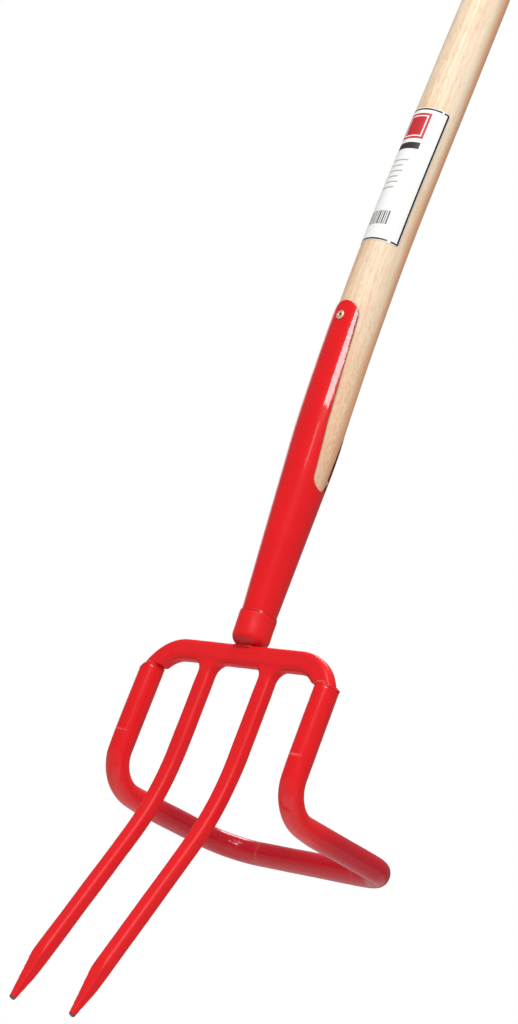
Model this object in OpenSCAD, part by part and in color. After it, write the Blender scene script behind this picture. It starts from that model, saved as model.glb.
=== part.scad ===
// Lawn aerator fork: two curved tines under a foot bar, a tube heel behind
// them to lever against, and an ash shaft held in a strapped socket.
// Millimetres. +Z runs up the tool, +X across the foot bar, and the tines
// curve towards -Y. The origin is the middle of the foot bar's underside.

/* [Foot bar] */
// Height of the foot bar, from the tine roots to the tread
bar_height = 17.5; // [16:0.5:24]
// Thickness of the foot bar from front to back
bar_depth = 13; // [12.5:0.5:18]
// Radius on the long edges of the foot bar
bar_edge = 4.5; // [2:0.5:5]
// Outer radius of the two shoulders
shoulder_r = 42; // [38:1:46]

/* [Tines] */
// Distance between the two tine centrelines
tine_spacing = 65.5; // [56:0.5:76]
// Width of a tine, seen from the front
tine_width = 14; // [12:0.5:17]
// Depth of a tine from front to back
tine_depth = 11.5; // [10:0.5:12]
// Radius on the long edges of a tine
tine_edge = 4; // [2:0.5:4.5]
// Radius in the corners where the tines leave the foot bar
root_r = 10; // [7:0.5:12]
// Straight length below the foot bar
tine_straight = 72; // [50:1:90]
// Radius of the forward curve
tine_curve_r = 240; // [200:5:320]
// Angle of the forward curve
tine_curve = 20; // [10:1:26]
// Straight length from the curve to the start of the point
tine_lower = 108; // [70:1:140]
// Length of the tapered point
point_length = 47; // [30:1:60]
// Width left at the very tip
tip_width = 4; // [3:0.5:6]

/* [Heel loop] */
// Outside diameter of the heel tube
tube_d = 20; // [18:0.5:22]
// Wall of the heel tube
tube_wall = 2; // [1.5:0.5:3]
// Distance between the centrelines of the two arms
arm_spacing = 190; // [180:1:200]
// Distance between the tube's centrelines at the back corners
rear_spacing = 181; // [165:1:190]
// Depth of the heel behind the foot bar
heel_depth = 153.5; // [120:0.5:180]
// Drop of the heel below the foot bar's underside
heel_drop = 112; // [90:1:130]
// Rise of the heel from its front to its back
heel_rise = 6.5; // [0:0.5:12]
// Bend radius under each arm
arm_bend_r = 30; // [24:1:40]
// Bend radius at each back corner
rear_bend_r = 35; // [28:1:45]
// Depth below the foot bar's underside at which the arms are welded on
weld_drop = 7.5; // [5:0.5:9]

/* [Socket] */
// Forward lean of the socket
socket_lean = 3.4; // [0:0.1:6]
// Thickness of the socket and its straps
sheet = 1.5; // [1:0.1:2]
// Diameter of the closed cup under the socket
cup_d = 31; // [29:0.5:34]
// Height of the cup's top above the tread
cup_height = 26; // [22:0.5:32]
// Height of the sleeve's side openings above the tread
opening_height = 136; // [125:0.5:150]
// Length of the front strap along the bent shaft
strap_reach = 77; // [60:1:100]
// Half width of the front strap at its rounded end
strap_half = 14.3; // [12:0.1:15]
// Half width of the rear strap at its rounded end
rear_strap_half = 8; // [7:0.1:8.5]

/* [Shaft] */
// Diameter of the shaft at the straps
shaft_d = 40; // [38:0.5:42]
// Diameter of the shaft where it is held in the hand
grip_d = 39; // [34:0.5:40]
// Diameter of the shaft's foot in the socket
foot_d = 25.6; // [24:0.1:27]
// Height above the tread at which the foot's taper ends
taper_top = 190; // [180:1:215]
// Height above the tread at which the bend starts
bend_start = 220; // [216:1:260]
// Radius of the shaft's bend
bend_r = 2450; // [1800:50:3200]
// Angle of the shaft's bend
bend_angle = 4.8; // [3:0.1:7]
// Length of the taper above the bend
upper_taper = 240; // [150:10:300]
// Length of the parallel grip
grip_length = 460; // [300:10:600]
// Radius on the shaft's top edge
top_edge = 12; // [6:1:16]

/* [Label] */
// Distance from the start of the bend to the label's lower edge
label_start = 135; // [110:1:160]
// Length of the label
label_length = 133; // [100:1:140]
// Angle covered by the label on each side of the front
label_half_angle = 74; // [40:1:80]

/* [Rivet] */
// Diameter of the rivet's shank
rivet_d = 4; // [3:0.5:5]
// Diameter of the rivet's head
rivet_head_d = 8; // [7:0.5:9]
// Distance of the rivet below the strap's end
rivet_inset = 14; // [11:0.5:18]

/* [Hidden] */

$fn = 72;
fit_gap = 0.05;
seat_gap = 0.2;
label_gap = 0.35;
label_sheet = 0.25;
far = 100;
edge_steps = 5;
collar = 0.1;
collar_length = 1;
weld_bead = 1;
neck_bead = 2.4;
neck_weld_length = 18;
ring_bead = 1.5;
label_corner = 3;
cup_edge = 10;
cup_drop = 1.5;
fillet_sink = 0.15;
tip_clear = 0.2;
rivet_bore_wall = 0.7;
rivet_bore_depth = 6;
rivet_rim = 1.2;
burr_thick = 1.4;
rivet_tail = 0.8;
window_r = 11.5;
window_y = 2.5;
edge_rise = 44.5;
strap_edge_y = 13.3;
strap_turn_y = 14.8;
strap_turn_rise = 92.5;
strap_top_y = 15.9;
rear_edge_y = 19.7;
rear_top_y = 21.2;
window_over = 20;
steel_red = "#e32a28";
weld_red = "#c3262b";

shoulder_turn = 80;
bar_straight = arm_spacing / 2 + tube_d / 2 - shoulder_r;
shoulder_mid = shoulder_r - bar_height / 2;
tine_x = tine_spacing / 2;

shaft_r = shaft_d / 2;
grip_r = grip_d / 2;
foot_r = foot_d / 2;
sleeve_r = foot_r + sheet;

tube_r = tube_d / 2;
side_x = arm_spacing / 2;
rear_x = rear_spacing / 2;
leg_turn_in = atan((side_x - rear_x) / heel_depth);
leg_span = norm([side_x - rear_x, heel_depth, heel_rise]);
leg_rise = asin(heel_rise / leg_span);
arm_turn = 90 + leg_rise;
rear_turn = acos(sin(leg_turn_in) * cos(leg_rise));
rear_roll = atan2(sin(leg_rise) * sin(leg_turn_in), cos(leg_turn_in));
arm_tangent = arm_bend_r * tan(arm_turn / 2);
rear_tangent = rear_bend_r * tan(rear_turn / 2);

// ---- shared shapes ----

// Corner points of a centred rectangle whose corners are rounded in short steps
function round_points(width, depth, edge) = [
    for (corner = [0:3], step = [0:edge_steps])
        let (turn = 90 * (corner + step / edge_steps),
             x = corner == 0 || corner == 3 ? 1 : -1,
             y = corner < 2 ? 1 : -1)
        [x * (width / 2 - edge) + edge * cos(turn), y * (depth / 2 - edge) + edge * sin(turn)]
];

module round_bar(width, depth, edge) {
    polygon(round_points(width, depth, edge));
}

// Sweeps a flat profile along an arc that leaves the origin along +Z and
// turns towards +Y. The profile's own +X points away from the arc's centre.
module arc_sweep(radius, turn) {
    translate([0, radius, 0])
        rotate([90, 0, -90])
            rotate_extrude(angle = turn, $fn = radius > far ? 720 : 144)
                translate([radius, 0])
                    children();
}

// Moves to the far end of such an arc
module after_arc(radius, turn) {
    translate([0, radius * (1 - cos(turn)), radius * sin(turn)])
        rotate([-turn, 0, 0])
            children();
}

// Thin band of a slightly grown profile that binds two lengths end to end
module joint_band() {
    translate([0, 0, -collar_length / 2])
        linear_extrude(collar_length)
            children();
}

module both_sides() {
    children();
    mirror([1, 0, 0])
        children();
}

// ---- fork head ----

module foot_bar() {
    rotate([90, 0, 90])
        translate([0, bar_height / 2, -bar_straight])
            linear_extrude(2 * bar_straight)
                round_bar(bar_depth, bar_height, bar_edge);
}

// Turns down from the bar's end and is cut flat where the arm is welded on
module shoulder(grow) {
    intersection() {
        translate([bar_straight, 0, bar_height / 2])
            rotate([0, 90, 0])
                rotate([0, 0, -90]) {
                    arc_sweep(shoulder_mid, shoulder_turn)
                        round_bar(bar_height + 2 * grow, bar_depth + 2 * grow, bar_edge + grow);
                    joint_band()
                        round_bar(bar_depth + collar, bar_height + collar, bar_edge + collar / 2);
                }
        translate([0, -far, -weld_drop - grow])
            cube([2 * far, 2 * far, 2 * far]);
    }
}

// Fills one corner between a tine and the foot bar
module root_fillet(side) {
    depth = tine_depth - 2 * fillet_sink;
    edge = tine_edge - 2 * fillet_sink;
    translate([side * (tine_width / 2 + root_r - fillet_sink), 0, fillet_sink - root_r])
        rotate([90, 0, 0])
            rotate([0, 0, side > 0 ? 90 : 0])
                rotate_extrude(angle = 90, $fn = 96)
                    intersection() {
                        translate([2 * root_r, 0])
                            round_bar(2 * root_r, depth, edge);
                        translate([0, -far])
                            square([1.5 * root_r, 2 * far]);
                    }
}

// Tapered point, flat-ground on its front
module tine_point() {
    half = tine_width / 2 + tip_clear;
    back = tine_depth / 2 + tip_clear;
    tip = tip_width / 2;
    over = collar_length;
    intersection() {
        translate([0, 0, -point_length])
            linear_extrude(point_length + over)
                round_bar(tine_width, tine_depth, tine_edge);
        rotate([90, 0, 0])
            translate([0, 0, -far / 2])
                linear_extrude(far)
                    polygon([[-half, over], [-half, 0], [-tip, -point_length],
                             [tip, -point_length], [half, 0], [half, over]]);
        rotate([90, 0, 90])
            translate([0, 0, -far / 2])
                linear_extrude(far)
                    polygon([[-back, over], [-back, 0], [tine_depth / 2 - 1.25 * tip_width, -point_length],
                             [tine_depth / 2 - tip_width / 4, -point_length],
                             [back, -0.4 * point_length], [back, over]]);
    }
}

module tine_band() {
    joint_band()
        round_bar(tine_width + collar, tine_depth + collar, tine_edge + collar / 2);
}

module tine() {
    translate([0, 0, -tine_straight])
        linear_extrude(tine_straight + bar_height / 2)
            round_bar(tine_width, tine_depth, tine_edge);
    translate([0, 0, -tine_straight])
        rotate([180, 0, 0]) {
            arc_sweep(tine_curve_r, tine_curve)
                round_bar(tine_depth, tine_width, tine_edge);
            tine_band();
            after_arc(tine_curve_r, tine_curve) {
                tine_band();
                linear_extrude(tine_lower)
                    round_bar(tine_width, tine_depth, tine_edge);
                translate([0, 0, tine_lower])
                    rotate([180, 0, 0])
                        tine_point();
            }
        }
}

module fork_head() {
    color(steel_red) {
        foot_bar();
        both_sides()
            shoulder(0);
        for (side = [-1, 1])
            translate([side * tine_x, 0, 0]) {
                tine();
                for (edge_side = [-1, 1])
                    root_fillet(edge_side);
            }
    }
}

// ---- heel loop ----

module loop_band(radius) {
    joint_band()
        circle(r = radius + collar / 2);
}

// One half of the loop as a solid rod, from the right arm's weld to the rear
// bar. The whole rear bar is drawn with it when with_bar is true.
module half_loop(radius, overrun, with_bar) {
    arm = heel_drop - weld_drop - arm_tangent;
    leg = leg_span - arm_tangent - rear_tangent;
    translate([side_x, 0, -weld_drop])
        rotate([0, 0, leg_turn_in])
            rotate([0, 180, 0]) {
                translate([0, 0, -overrun])
                    cylinder(h = arm + overrun, r = radius);
                translate([0, 0, arm]) {
                    loop_band(radius);
                    arc_sweep(arm_bend_r, arm_turn)
                        circle(r = radius);
                    after_arc(arm_bend_r, arm_turn) {
                        loop_band(radius);
                        cylinder(h = leg, r = radius);
                        translate([0, 0, leg])
                            rotate([0, 0, -90 - rear_roll]) {
                                loop_band(radius);
                                arc_sweep(rear_bend_r, rear_turn)
                                    circle(r = radius);
                                after_arc(rear_bend_r, rear_turn) {
                                    loop_band(radius);
                                    if (with_bar)
                                        cylinder(h = 2 * (rear_x - rear_tangent), r = radius);
                                }
                            }
                    }
                }
            }
}

module full_loop(radius, overrun) {
    half_loop(radius, overrun, true);
    mirror([1, 0, 0])
        half_loop(radius, overrun, false);
}

module heel_loop() {
    color(steel_red)
        difference() {
            full_loop(tube_r, 0);
            full_loop(tube_r - tube_wall, 1);
        }
}

// Bead that closes the arm's open end around the shoulder
module loop_weld() {
    lip = tube_r + weld_bead;
    color(weld_red)
        difference() {
            translate([side_x, 0, -weld_drop])
                rotate_extrude()
                    polygon([[0, fit_gap], [tube_r + fit_gap, fit_gap], [tube_r + fit_gap, -weld_bead],
                             [lip - 0.3, -weld_bead], [lip, 0], [lip - 0.5, 1.5 * weld_bead],
                             [tube_r - 2 * weld_bead, 3 * weld_bead], [0, 3 * weld_bead]]);
            shoulder(fit_gap);
        }
}

module loop_weld_right() {
    loop_weld();
}

module loop_weld_left() {
    mirror([1, 0, 0])
        loop_weld();
}

// ---- shaft and what follows it ----

// Frame of the socket: origin on the tread, +Z up the leaning socket
module socket_frame() {
    translate([0, 0, bar_height])
        rotate([socket_lean, 0, 0])
            children();
}

// Frame a given distance past the start of the bend
module bend_frame(distance) {
    socket_frame()
        translate([0, 0, bend_start])
            after_arc(bend_r, distance / bend_r * 180 / PI)
                children();
}

module upper_frame() {
    socket_frame()
        translate([0, 0, bend_start])
            after_arc(bend_r, bend_angle)
                children();
}

// The shaft's outside from its foot to the end of its upper taper
module shaft_envelope(grow) {
    socket_frame() {
        translate([0, 0, cup_height + seat_gap])
            cylinder(h = taper_top - cup_height - seat_gap, r1 = foot_r + grow, r2 = shaft_r + grow);
        translate([0, 0, taper_top])
            cylinder(h = bend_start - taper_top, r = shaft_r + grow);
        translate([0, 0, bend_start]) {
            arc_sweep(bend_r, bend_angle)
                circle(r = shaft_r + grow);
            joint_band()
                circle(r = shaft_r + grow + collar / 2);
        }
    }
    upper_frame() {
        cylinder(h = upper_taper, r1 = shaft_r + grow, r2 = grip_r + grow);
        joint_band()
            circle(r = shaft_r + grow + collar / 2);
    }
}

module handle_shaft() {
    color("#f2e2c4")
        difference() {
            union() {
                shaft_envelope(0);
                upper_frame()
                    translate([0, 0, upper_taper]) {
                        cylinder(h = grip_length - top_edge, r = grip_r);
                        translate([0, 0, grip_length - top_edge])
                            rotate_extrude()
                                intersection() {
                                    union() {
                                        square([grip_r - top_edge, top_edge]);
                                        translate([grip_r - top_edge, 0])
                                            circle(r = top_edge, $fn = 64);
                                    }
                                    square([grip_r, top_edge]);
                                }
                    }
            }
            rivet_place()
                translate([0, 0, -far / 2])
                    cylinder(h = far, r = rivet_d / 2 + fit_gap);
        }
}

// A layer on the shaft between two heights above its surface
module shaft_layer(inner, outer) {
    difference() {
        shaft_envelope(outer);
        shaft_envelope(inner);
    }
}

module product_label() {
    half_width = shaft_r * sin(label_half_angle);
    color("white")
        intersection() {
            shaft_layer(label_gap, label_gap + label_sheet);
            bend_frame(label_start)
                rotate([90, 0, 0])
                    linear_extrude(far)
                        translate([0, label_length / 2])
                            round_bar(2 * half_width, label_length, label_corner);
        }
}

// Side outline of the two side openings, as one shape
module window_2d() {
    top = bend_start + strap_reach + window_over;
    low = opening_height + window_r;
    translate([window_y, low])
        circle(r = window_r);
    polygon([[window_y - window_r, low], [window_y + window_r, low],
             [rear_edge_y, low + edge_rise], [rear_top_y, top],
             [-strap_top_y, top], [-strap_turn_y, low + strap_turn_rise],
             [-strap_edge_y, low + edge_rise]]);
}

// Everything below a strap's rounded end, on the front or the back
module strap_outline(half, on_front) {
    bend_frame(strap_reach - half)
        rotate([90, 0, 0])
            translate([0, 0, on_front ? 0 : -far])
                linear_extrude(far) {
                    circle(r = half);
                    translate([-far / 2, -3 * far])
                        square([far, 3 * far]);
                }
}

module socket() {
    color(steel_red)
        difference() {
            intersection() {
                shaft_layer(fit_gap, sheet);
                union() {
                    strap_outline(strap_half, true);
                    strap_outline(rear_strap_half, false);
                }
            }
            socket_frame()
                rotate([90, 0, 90])
                    translate([0, 0, -far / 2])
                        linear_extrude(far)
                            window_2d();
            rivet_place()
                translate([0, 0, -far / 2])
                    cylinder(h = far, r = rivet_d / 2 + fit_gap);
        }
}

// ---- rivet ----

// On the shaft's axis at the rivet, with +Z pointing out of the front strap
module rivet_place() {
    bend_frame(strap_reach - rivet_inset)
        rotate([90, 0, 0])
            children();
}

module strap_rivet() {
    front = shaft_r + sheet + seat_gap;
    back = front + burr_thick + rivet_tail;
    color("silver")
        rivet_place()
            difference() {
                union() {
                    translate([0, 0, -back])
                        cylinder(h = back + front, r = rivet_d / 2);
                    translate([0, 0, front])
                        cylinder(h = rivet_rim, r1 = rivet_head_d / 2,
                                 r2 = rivet_head_d / 2 - 0.75 * rivet_rim);
                }
                translate([0, 0, front - rivet_bore_depth])
                    cylinder(h = rivet_bore_depth + far, r = rivet_d / 2 - rivet_bore_wall);
            }
}

module rivet_burr() {
    back = shaft_r + sheet + seat_gap;
    color("silver")
        rivet_place()
            translate([0, 0, -back - burr_thick])
                difference() {
                    cylinder(h = burr_thick, r = rivet_head_d / 2 + 0.5);
                    translate([0, 0, -burr_thick])
                        cylinder(h = 3 * burr_thick, r = rivet_d / 2 + fit_gap);
                }
}

// ---- cup and its welds ----

module bar_space() {
    translate([-far, -bar_depth / 2 - fit_gap, -far + bar_height + fit_gap])
        cube([2 * far, bar_depth + 2 * fit_gap, far]);
}

module cup_body(grow) {
    socket_frame()
        rotate_extrude()
            intersection() {
                union() {
                    translate([0, -cup_drop - grow])
                        square([cup_d / 2 - cup_edge, cup_drop + cup_height + grow]);
                    translate([0, cup_edge - cup_drop])
                        square([cup_d / 2 + grow, cup_height - cup_edge + cup_drop]);
                    translate([cup_d / 2 - cup_edge, cup_edge - cup_drop])
                        circle(r = cup_edge + grow, $fn = 48);
                }
                translate([0, -far])
                    square([far, 2 * far]);
            }
}

module neck_cup() {
    color(steel_red)
        difference() {
            cup_body(0);
            bar_space();
        }
}

module cup_ring_weld() {
    color(weld_red)
        socket_frame()
            difference() {
                rotate_extrude()
                    intersection() {
                        translate([sleeve_r, cup_height + fit_gap])
                            circle(r = ring_bead, $fn = 32);
                        translate([sleeve_r - ring_bead / 2, cup_height + fit_gap])
                            square(far);
                    }
                translate([0, 0, cup_height + seat_gap])
                    cylinder(h = taper_top - cup_height - seat_gap, r1 = sleeve_r + fit_gap,
                             r2 = shaft_r + sheet + fit_gap);
                translate([0, 0, cup_height - ring_bead])
                    cylinder(h = ring_bead + seat_gap, r = sleeve_r + fit_gap);
            }
}

module neck_weld() {
    color(weld_red)
        for (side = [-1, 1])
            difference() {
                translate([-neck_weld_length / 2, side * bar_depth / 2, bar_height - cup_drop])
                    rotate([0, 90, 0])
                        cylinder(h = neck_weld_length, r = neck_bead, $fn = 32);
                cup_body(fit_gap);
                bar_space();
            }
}

handle_shaft();
product_label();
socket();
strap_rivet();
rivet_burr();
neck_cup();
cup_ring_weld();
neck_weld();
fork_head();
heel_loop();
loop_weld_left();
loop_weld_right();
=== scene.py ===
"""Visual model of a lawn aerator fork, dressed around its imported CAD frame.

Everything is in metres in the CAD frame: +Z runs up the tool, +X across the
foot bar, the tines curve towards -Y and the heel reaches towards +Y.
"""

import logging
import math
from dataclasses import dataclass, field
from enum import Enum

import bmesh
import bpy
import numpy as np
from mathutils import Matrix, Vector

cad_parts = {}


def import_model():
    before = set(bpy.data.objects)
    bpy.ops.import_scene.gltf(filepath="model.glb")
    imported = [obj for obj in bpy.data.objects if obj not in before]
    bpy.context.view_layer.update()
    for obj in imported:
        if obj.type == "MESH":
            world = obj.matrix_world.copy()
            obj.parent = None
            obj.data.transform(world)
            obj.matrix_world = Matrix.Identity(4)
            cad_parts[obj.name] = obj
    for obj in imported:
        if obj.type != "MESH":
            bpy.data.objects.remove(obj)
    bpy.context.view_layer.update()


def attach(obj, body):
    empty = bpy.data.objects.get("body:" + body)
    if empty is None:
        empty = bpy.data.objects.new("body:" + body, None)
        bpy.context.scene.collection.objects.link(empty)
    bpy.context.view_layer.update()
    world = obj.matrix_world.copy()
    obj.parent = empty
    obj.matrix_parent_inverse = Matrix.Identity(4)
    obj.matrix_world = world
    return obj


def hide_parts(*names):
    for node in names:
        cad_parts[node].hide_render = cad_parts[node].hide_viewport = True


MM = 0.001
HAIR = 0.001 * MM
ROOT = "root"
LOG = logging.getLogger("aerator_fork")
RIGHT = np.array([1.0, 0.0, 0.0])

Piece = bpy.types.Object
Material = bpy.types.Material
Link = bpy.types.NodeSocket
Triple = tuple[float, float, float]


class Slot(Enum):
    """The record's material slots."""

    ASH = "ash_wood"
    PAINT = "red_paint"
    WELD = "weld_paint"
    RIVET = "rivet_steel"
    LABEL = "label_film"


# ---- colours, points and faces ----


def linear(code: str) -> tuple[float, float, float, float]:
    """Turns a hex colour into linear RGBA by the sRGB curve.

    Args:
        code: A colour such as "#E92126".

    Returns:
        Red, green, blue and alpha, linear.
    """
    parts = [int(code[i : i + 2], 16) / 255 for i in (1, 3, 5)]
    rgb = [p / 12.92 if p <= 0.04045 else ((p + 0.055) / 1.055) ** 2.4 for p in parts]
    return rgb[0], rgb[1], rgb[2], 1.0


def ripple(points: np.ndarray, wavelength: float, seed: int, layers: int = 9) -> np.ndarray:
    """Smooth seeded unevenness, made of crossing waves.

    Args:
        points: Positions, one row each.
        wavelength: Typical distance between two swells.
        seed: Seed of the waves' directions and phases.
        layers: Number of waves.

    Returns:
        One value a point, mostly within -1.5 to 1.5.
    """
    rng = np.random.default_rng(seed)
    total = np.zeros(len(points))
    for _ in range(layers):
        direction = rng.normal(size=3)
        direction /= np.linalg.norm(direction)
        pitch = wavelength * rng.uniform(0.7, 1.5)
        total += np.sin(points @ direction * (2 * math.pi / pitch) + rng.uniform(0, 2 * math.pi))
    return total / math.sqrt(layers)


def full_turn(count: int) -> np.ndarray:
    """Angles of points spaced evenly round a circle."""
    return np.arange(count) * (2 * math.pi / count)


def quarter_turn(count: int) -> np.ndarray:
    """Angles from 0 to a right angle."""
    return np.linspace(0, math.pi / 2, count)


def spread(values: np.ndarray) -> np.ndarray:
    """One value a vertex as a vector attribute."""
    return np.repeat(np.asarray(values)[:, None], 3, axis=1)


def ring_grid(at: np.ndarray, size: np.ndarray, around: int) -> tuple[np.ndarray, np.ndarray, np.ndarray]:
    """Distance, angle and radius of every vertex of a row of rings."""
    return np.repeat(at, around), np.tile(full_turn(around), len(at)), np.repeat(size, around)


def grain_of(distance: np.ndarray, angle: np.ndarray, radius: np.ndarray) -> np.ndarray:
    """Straight coordinates in the wood, as if the shaft had no bend."""
    return np.stack([radius * np.sin(angle), -radius * np.cos(angle), distance], axis=-1)


def level_ring(centre: Triple, half_x: float, half_y: float, count: int) -> np.ndarray:
    """A level oval of points, from sizes in millimetres.

    Args:
        centre: Its centre.
        half_x: Its half width along X.
        half_y: Its half width along Y.
        count: Number of points.

    Returns:
        The points in metres, one row each.
    """
    angle = full_turn(count)
    x, y = centre[0] + half_x * np.cos(angle), centre[1] + half_y * np.sin(angle)
    return np.stack([x, y, np.full(count, centre[2])], axis=-1) * MM


def grid_faces(rows: int, columns: int, closed: bool) -> list[tuple[int, ...]]:
    """Quads over a grid of vertices stored row by row.

    Args:
        rows: Number of rows.
        columns: Number of vertices in a row.
        closed: Whether each row is a ring.

    Returns:
        The faces as vertex indices.
    """
    faces = []
    for start in range(0, (rows - 1) * columns, columns):
        for c in range(columns if closed else columns - 1):
            a, b = start + c, start + (c + 1) % columns
            faces.append((a, b, b + columns, a + columns))
    return faces


# ---- meshes and objects ----


def add_object(name: str, data: bpy.types.ID) -> Piece:
    """Adds an object to the scene, at the origin.

    Args:
        name: Name of the object.
        data: Its mesh, lamp or camera.

    Returns:
        The object.
    """
    thing = bpy.data.objects.new(name, data)
    bpy.context.scene.collection.objects.link(thing)
    return thing


def modify(piece: Piece, name: str, kind: str, **settings: object) -> bpy.types.Modifier:
    """Adds a modifier to a piece.

    Args:
        piece: The object.
        name: Name of the modifier.
        kind: Its type.
        **settings: Its properties.

    Returns:
        The modifier.
    """
    modifier = piece.modifiers.new(name, kind)
    for key, value in settings.items():
        setattr(modifier, key, value)
    return modifier


def merge(mesh: bpy.types.Mesh, distance: float, outwards: bool) -> None:
    """Merges a mesh's doubled vertices.

    Args:
        mesh: The mesh.
        distance: Vertices closer than this are merged.
        outwards: Whether its faces are turned outwards as well.
    """
    shape = bmesh.new()
    shape.from_mesh(mesh)
    bmesh.ops.remove_doubles(shape, verts=shape.verts, dist=distance)
    if outwards:
        bmesh.ops.recalc_face_normals(shape, faces=shape.faces)
    shape.to_mesh(mesh)
    shape.free()


def coat_mesh(mesh: bpy.types.Mesh, material: Material) -> None:
    """Gives a mesh its one material and smooth shading.

    Args:
        mesh: The mesh.
        material: Its finish.
    """
    mesh.materials.clear()
    mesh.materials.append(material)
    mesh.shade_smooth()


def settle(piece: Piece, material: Material) -> None:
    """Applies a piece's modifiers, so that what they made is its plain mesh.

    Args:
        piece: The object with modifiers.
        material: The one material that it keeps.
    """
    evaluated = piece.evaluated_get(bpy.context.evaluated_depsgraph_get())
    mesh = bpy.data.meshes.new_from_object(evaluated)
    old = piece.data
    piece.modifiers.clear()
    piece.data = mesh
    bpy.data.meshes.remove(old)
    coat_mesh(mesh, material)


def read_rows(items: object, name: str) -> np.ndarray:
    """Reads a vector property of a mesh's items.

    Args:
        items: Vertices, vertex normals or an attribute's data.
        name: The property.

    Returns:
        The vectors, one row each.
    """
    values = np.zeros(len(items) * 3)
    items.foreach_get(name, values)
    return values.reshape(-1, 3)


def move_vertices(mesh: bpy.types.Mesh, points: np.ndarray) -> None:
    """Puts a mesh's vertices at these points."""
    mesh.vertices.foreach_set("co", points.ravel())
    mesh.update()


def displace(piece: Piece, height: np.ndarray) -> None:
    """Moves each vertex of a piece along its normal.

    Args:
        piece: The object.
        height: Distance for each vertex.
    """
    points = read_rows(piece.data.vertices, "co")
    normals = read_rows(piece.data.vertex_normals, "vector")
    move_vertices(piece.data, points + normals * height[:, None])


@dataclass(frozen=True)
class Unevenness:
    """Seeded swells that a maker's tools leave in a surface."""

    depth: float
    wavelength: float
    seed: int
    lowest: float
    highest: float

    def press_into(self, piece: Piece) -> None:
        """Moves a piece's surface by the swells, kept within their limits."""
        swells = ripple(read_rows(piece.data.vertices, "co"), self.wavelength, self.seed)
        displace(piece, self.depth * np.clip(swells, self.lowest, self.highest))


def raise_highlight_spots(piece: Piece, spots: list[tuple[Triple, float]], height: float) -> None:
    """Raises spots and marks them as painted highlights in a piece's painted-light attribute.

    A spot is whole up to 0.4 of its radius and ends at 1.4 of it.

    Args:
        piece: The finished piece.
        spots: Centre and radius of each spot, in millimetres.
        height: How far a spot stands out.
    """
    mesh = piece.data
    points = read_rows(mesh.vertices, "co")
    layer = mesh.attributes.get("painted_light_and_shade") or mesh.attributes.new("painted_light_and_shade", "FLOAT_VECTOR", "POINT")
    old = read_rows(layer.data, "vector")
    total = np.zeros(len(points))
    for centre, radius in spots:
        far = np.linalg.norm(points - np.array(centre) * MM, axis=1)
        total = np.maximum(total, np.clip(1.4 - far / (radius * MM), 0, 1))
    displace(piece, height * total**2 * (3 - 2 * total))
    values = np.maximum(old, spread(total))
    mesh.attributes["painted_light_and_shade"].data.foreach_set("vector", values.astype(np.float32).ravel())


def hand_over(piece: Piece, slot: Slot, *nodes: str) -> None:
    """Lets a finished piece ride on the tool in place of its CAD nodes.

    Args:
        piece: The finished piece.
        slot: The material slot for its finish; not used.
        *nodes: The CAD nodes that it stands for.
    """
    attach(piece, ROOT)
    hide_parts(*nodes)
    LOG.info("%s: %d faces for %s", piece.name, len(piece.data.polygons), ", ".join(nodes))


@dataclass
class Shell:
    """Vertices and faces on their way to becoming a piece."""

    vertices: np.ndarray
    faces: list[tuple[int, ...]]
    attributes: dict[str, np.ndarray] = field(default_factory=dict)

    def build(self, name: str, material: Material, weld: float = 0.02 * MM) -> Piece:
        """Makes the piece, closes its seams and turns its faces outwards.

        Args:
            name: Name of the piece.
            material: Its finish.
            weld: Vertices closer than this are merged.

        Returns:
            The new object, at the origin.
        """
        mesh = bpy.data.meshes.new(name)
        mesh.from_pydata(self.vertices.tolist(), [], self.faces)
        for key, values in self.attributes.items():
            layer = mesh.attributes.new(key, "FLOAT_VECTOR", "POINT")
            layer.data.foreach_set("vector", np.asarray(values, np.float32).ravel())
        piece = add_object(name, mesh)
        merge(mesh, weld, outwards=True)
        coat_mesh(mesh, material)
        return piece


# ---- node trees ----


class NodeBench:
    """Places and joins nodes in one tree."""

    def __init__(self, tree: bpy.types.NodeTree) -> None:
        """Starts on an empty tree."""
        self.tree = tree
        self.tree.nodes.clear()

    def node(self, kind: str, inputs: dict | None = None, **settings: object) -> bpy.types.Node:
        """Adds one node.

        Args:
            kind: The node's whole type.
            inputs: Values or sockets by input name or number.
            **settings: Properties of the node, set first.

        Returns:
            The node.
        """
        node = self.tree.nodes.new(kind)
        for key, value in settings.items():
            setattr(node, key, value)
        for key, value in (inputs or {}).items():
            self.feed(node.inputs[key], value)
        return node

    def feed(self, socket: Link, value: object) -> None:
        """Joins a socket to another, or sets its plain value.

        Args:
            socket: The input socket.
            value: An output socket or a plain value.
        """
        if isinstance(value, bpy.types.NodeSocket):
            self.tree.links.new(value, socket)
        else:
            socket.default_value = value


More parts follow.
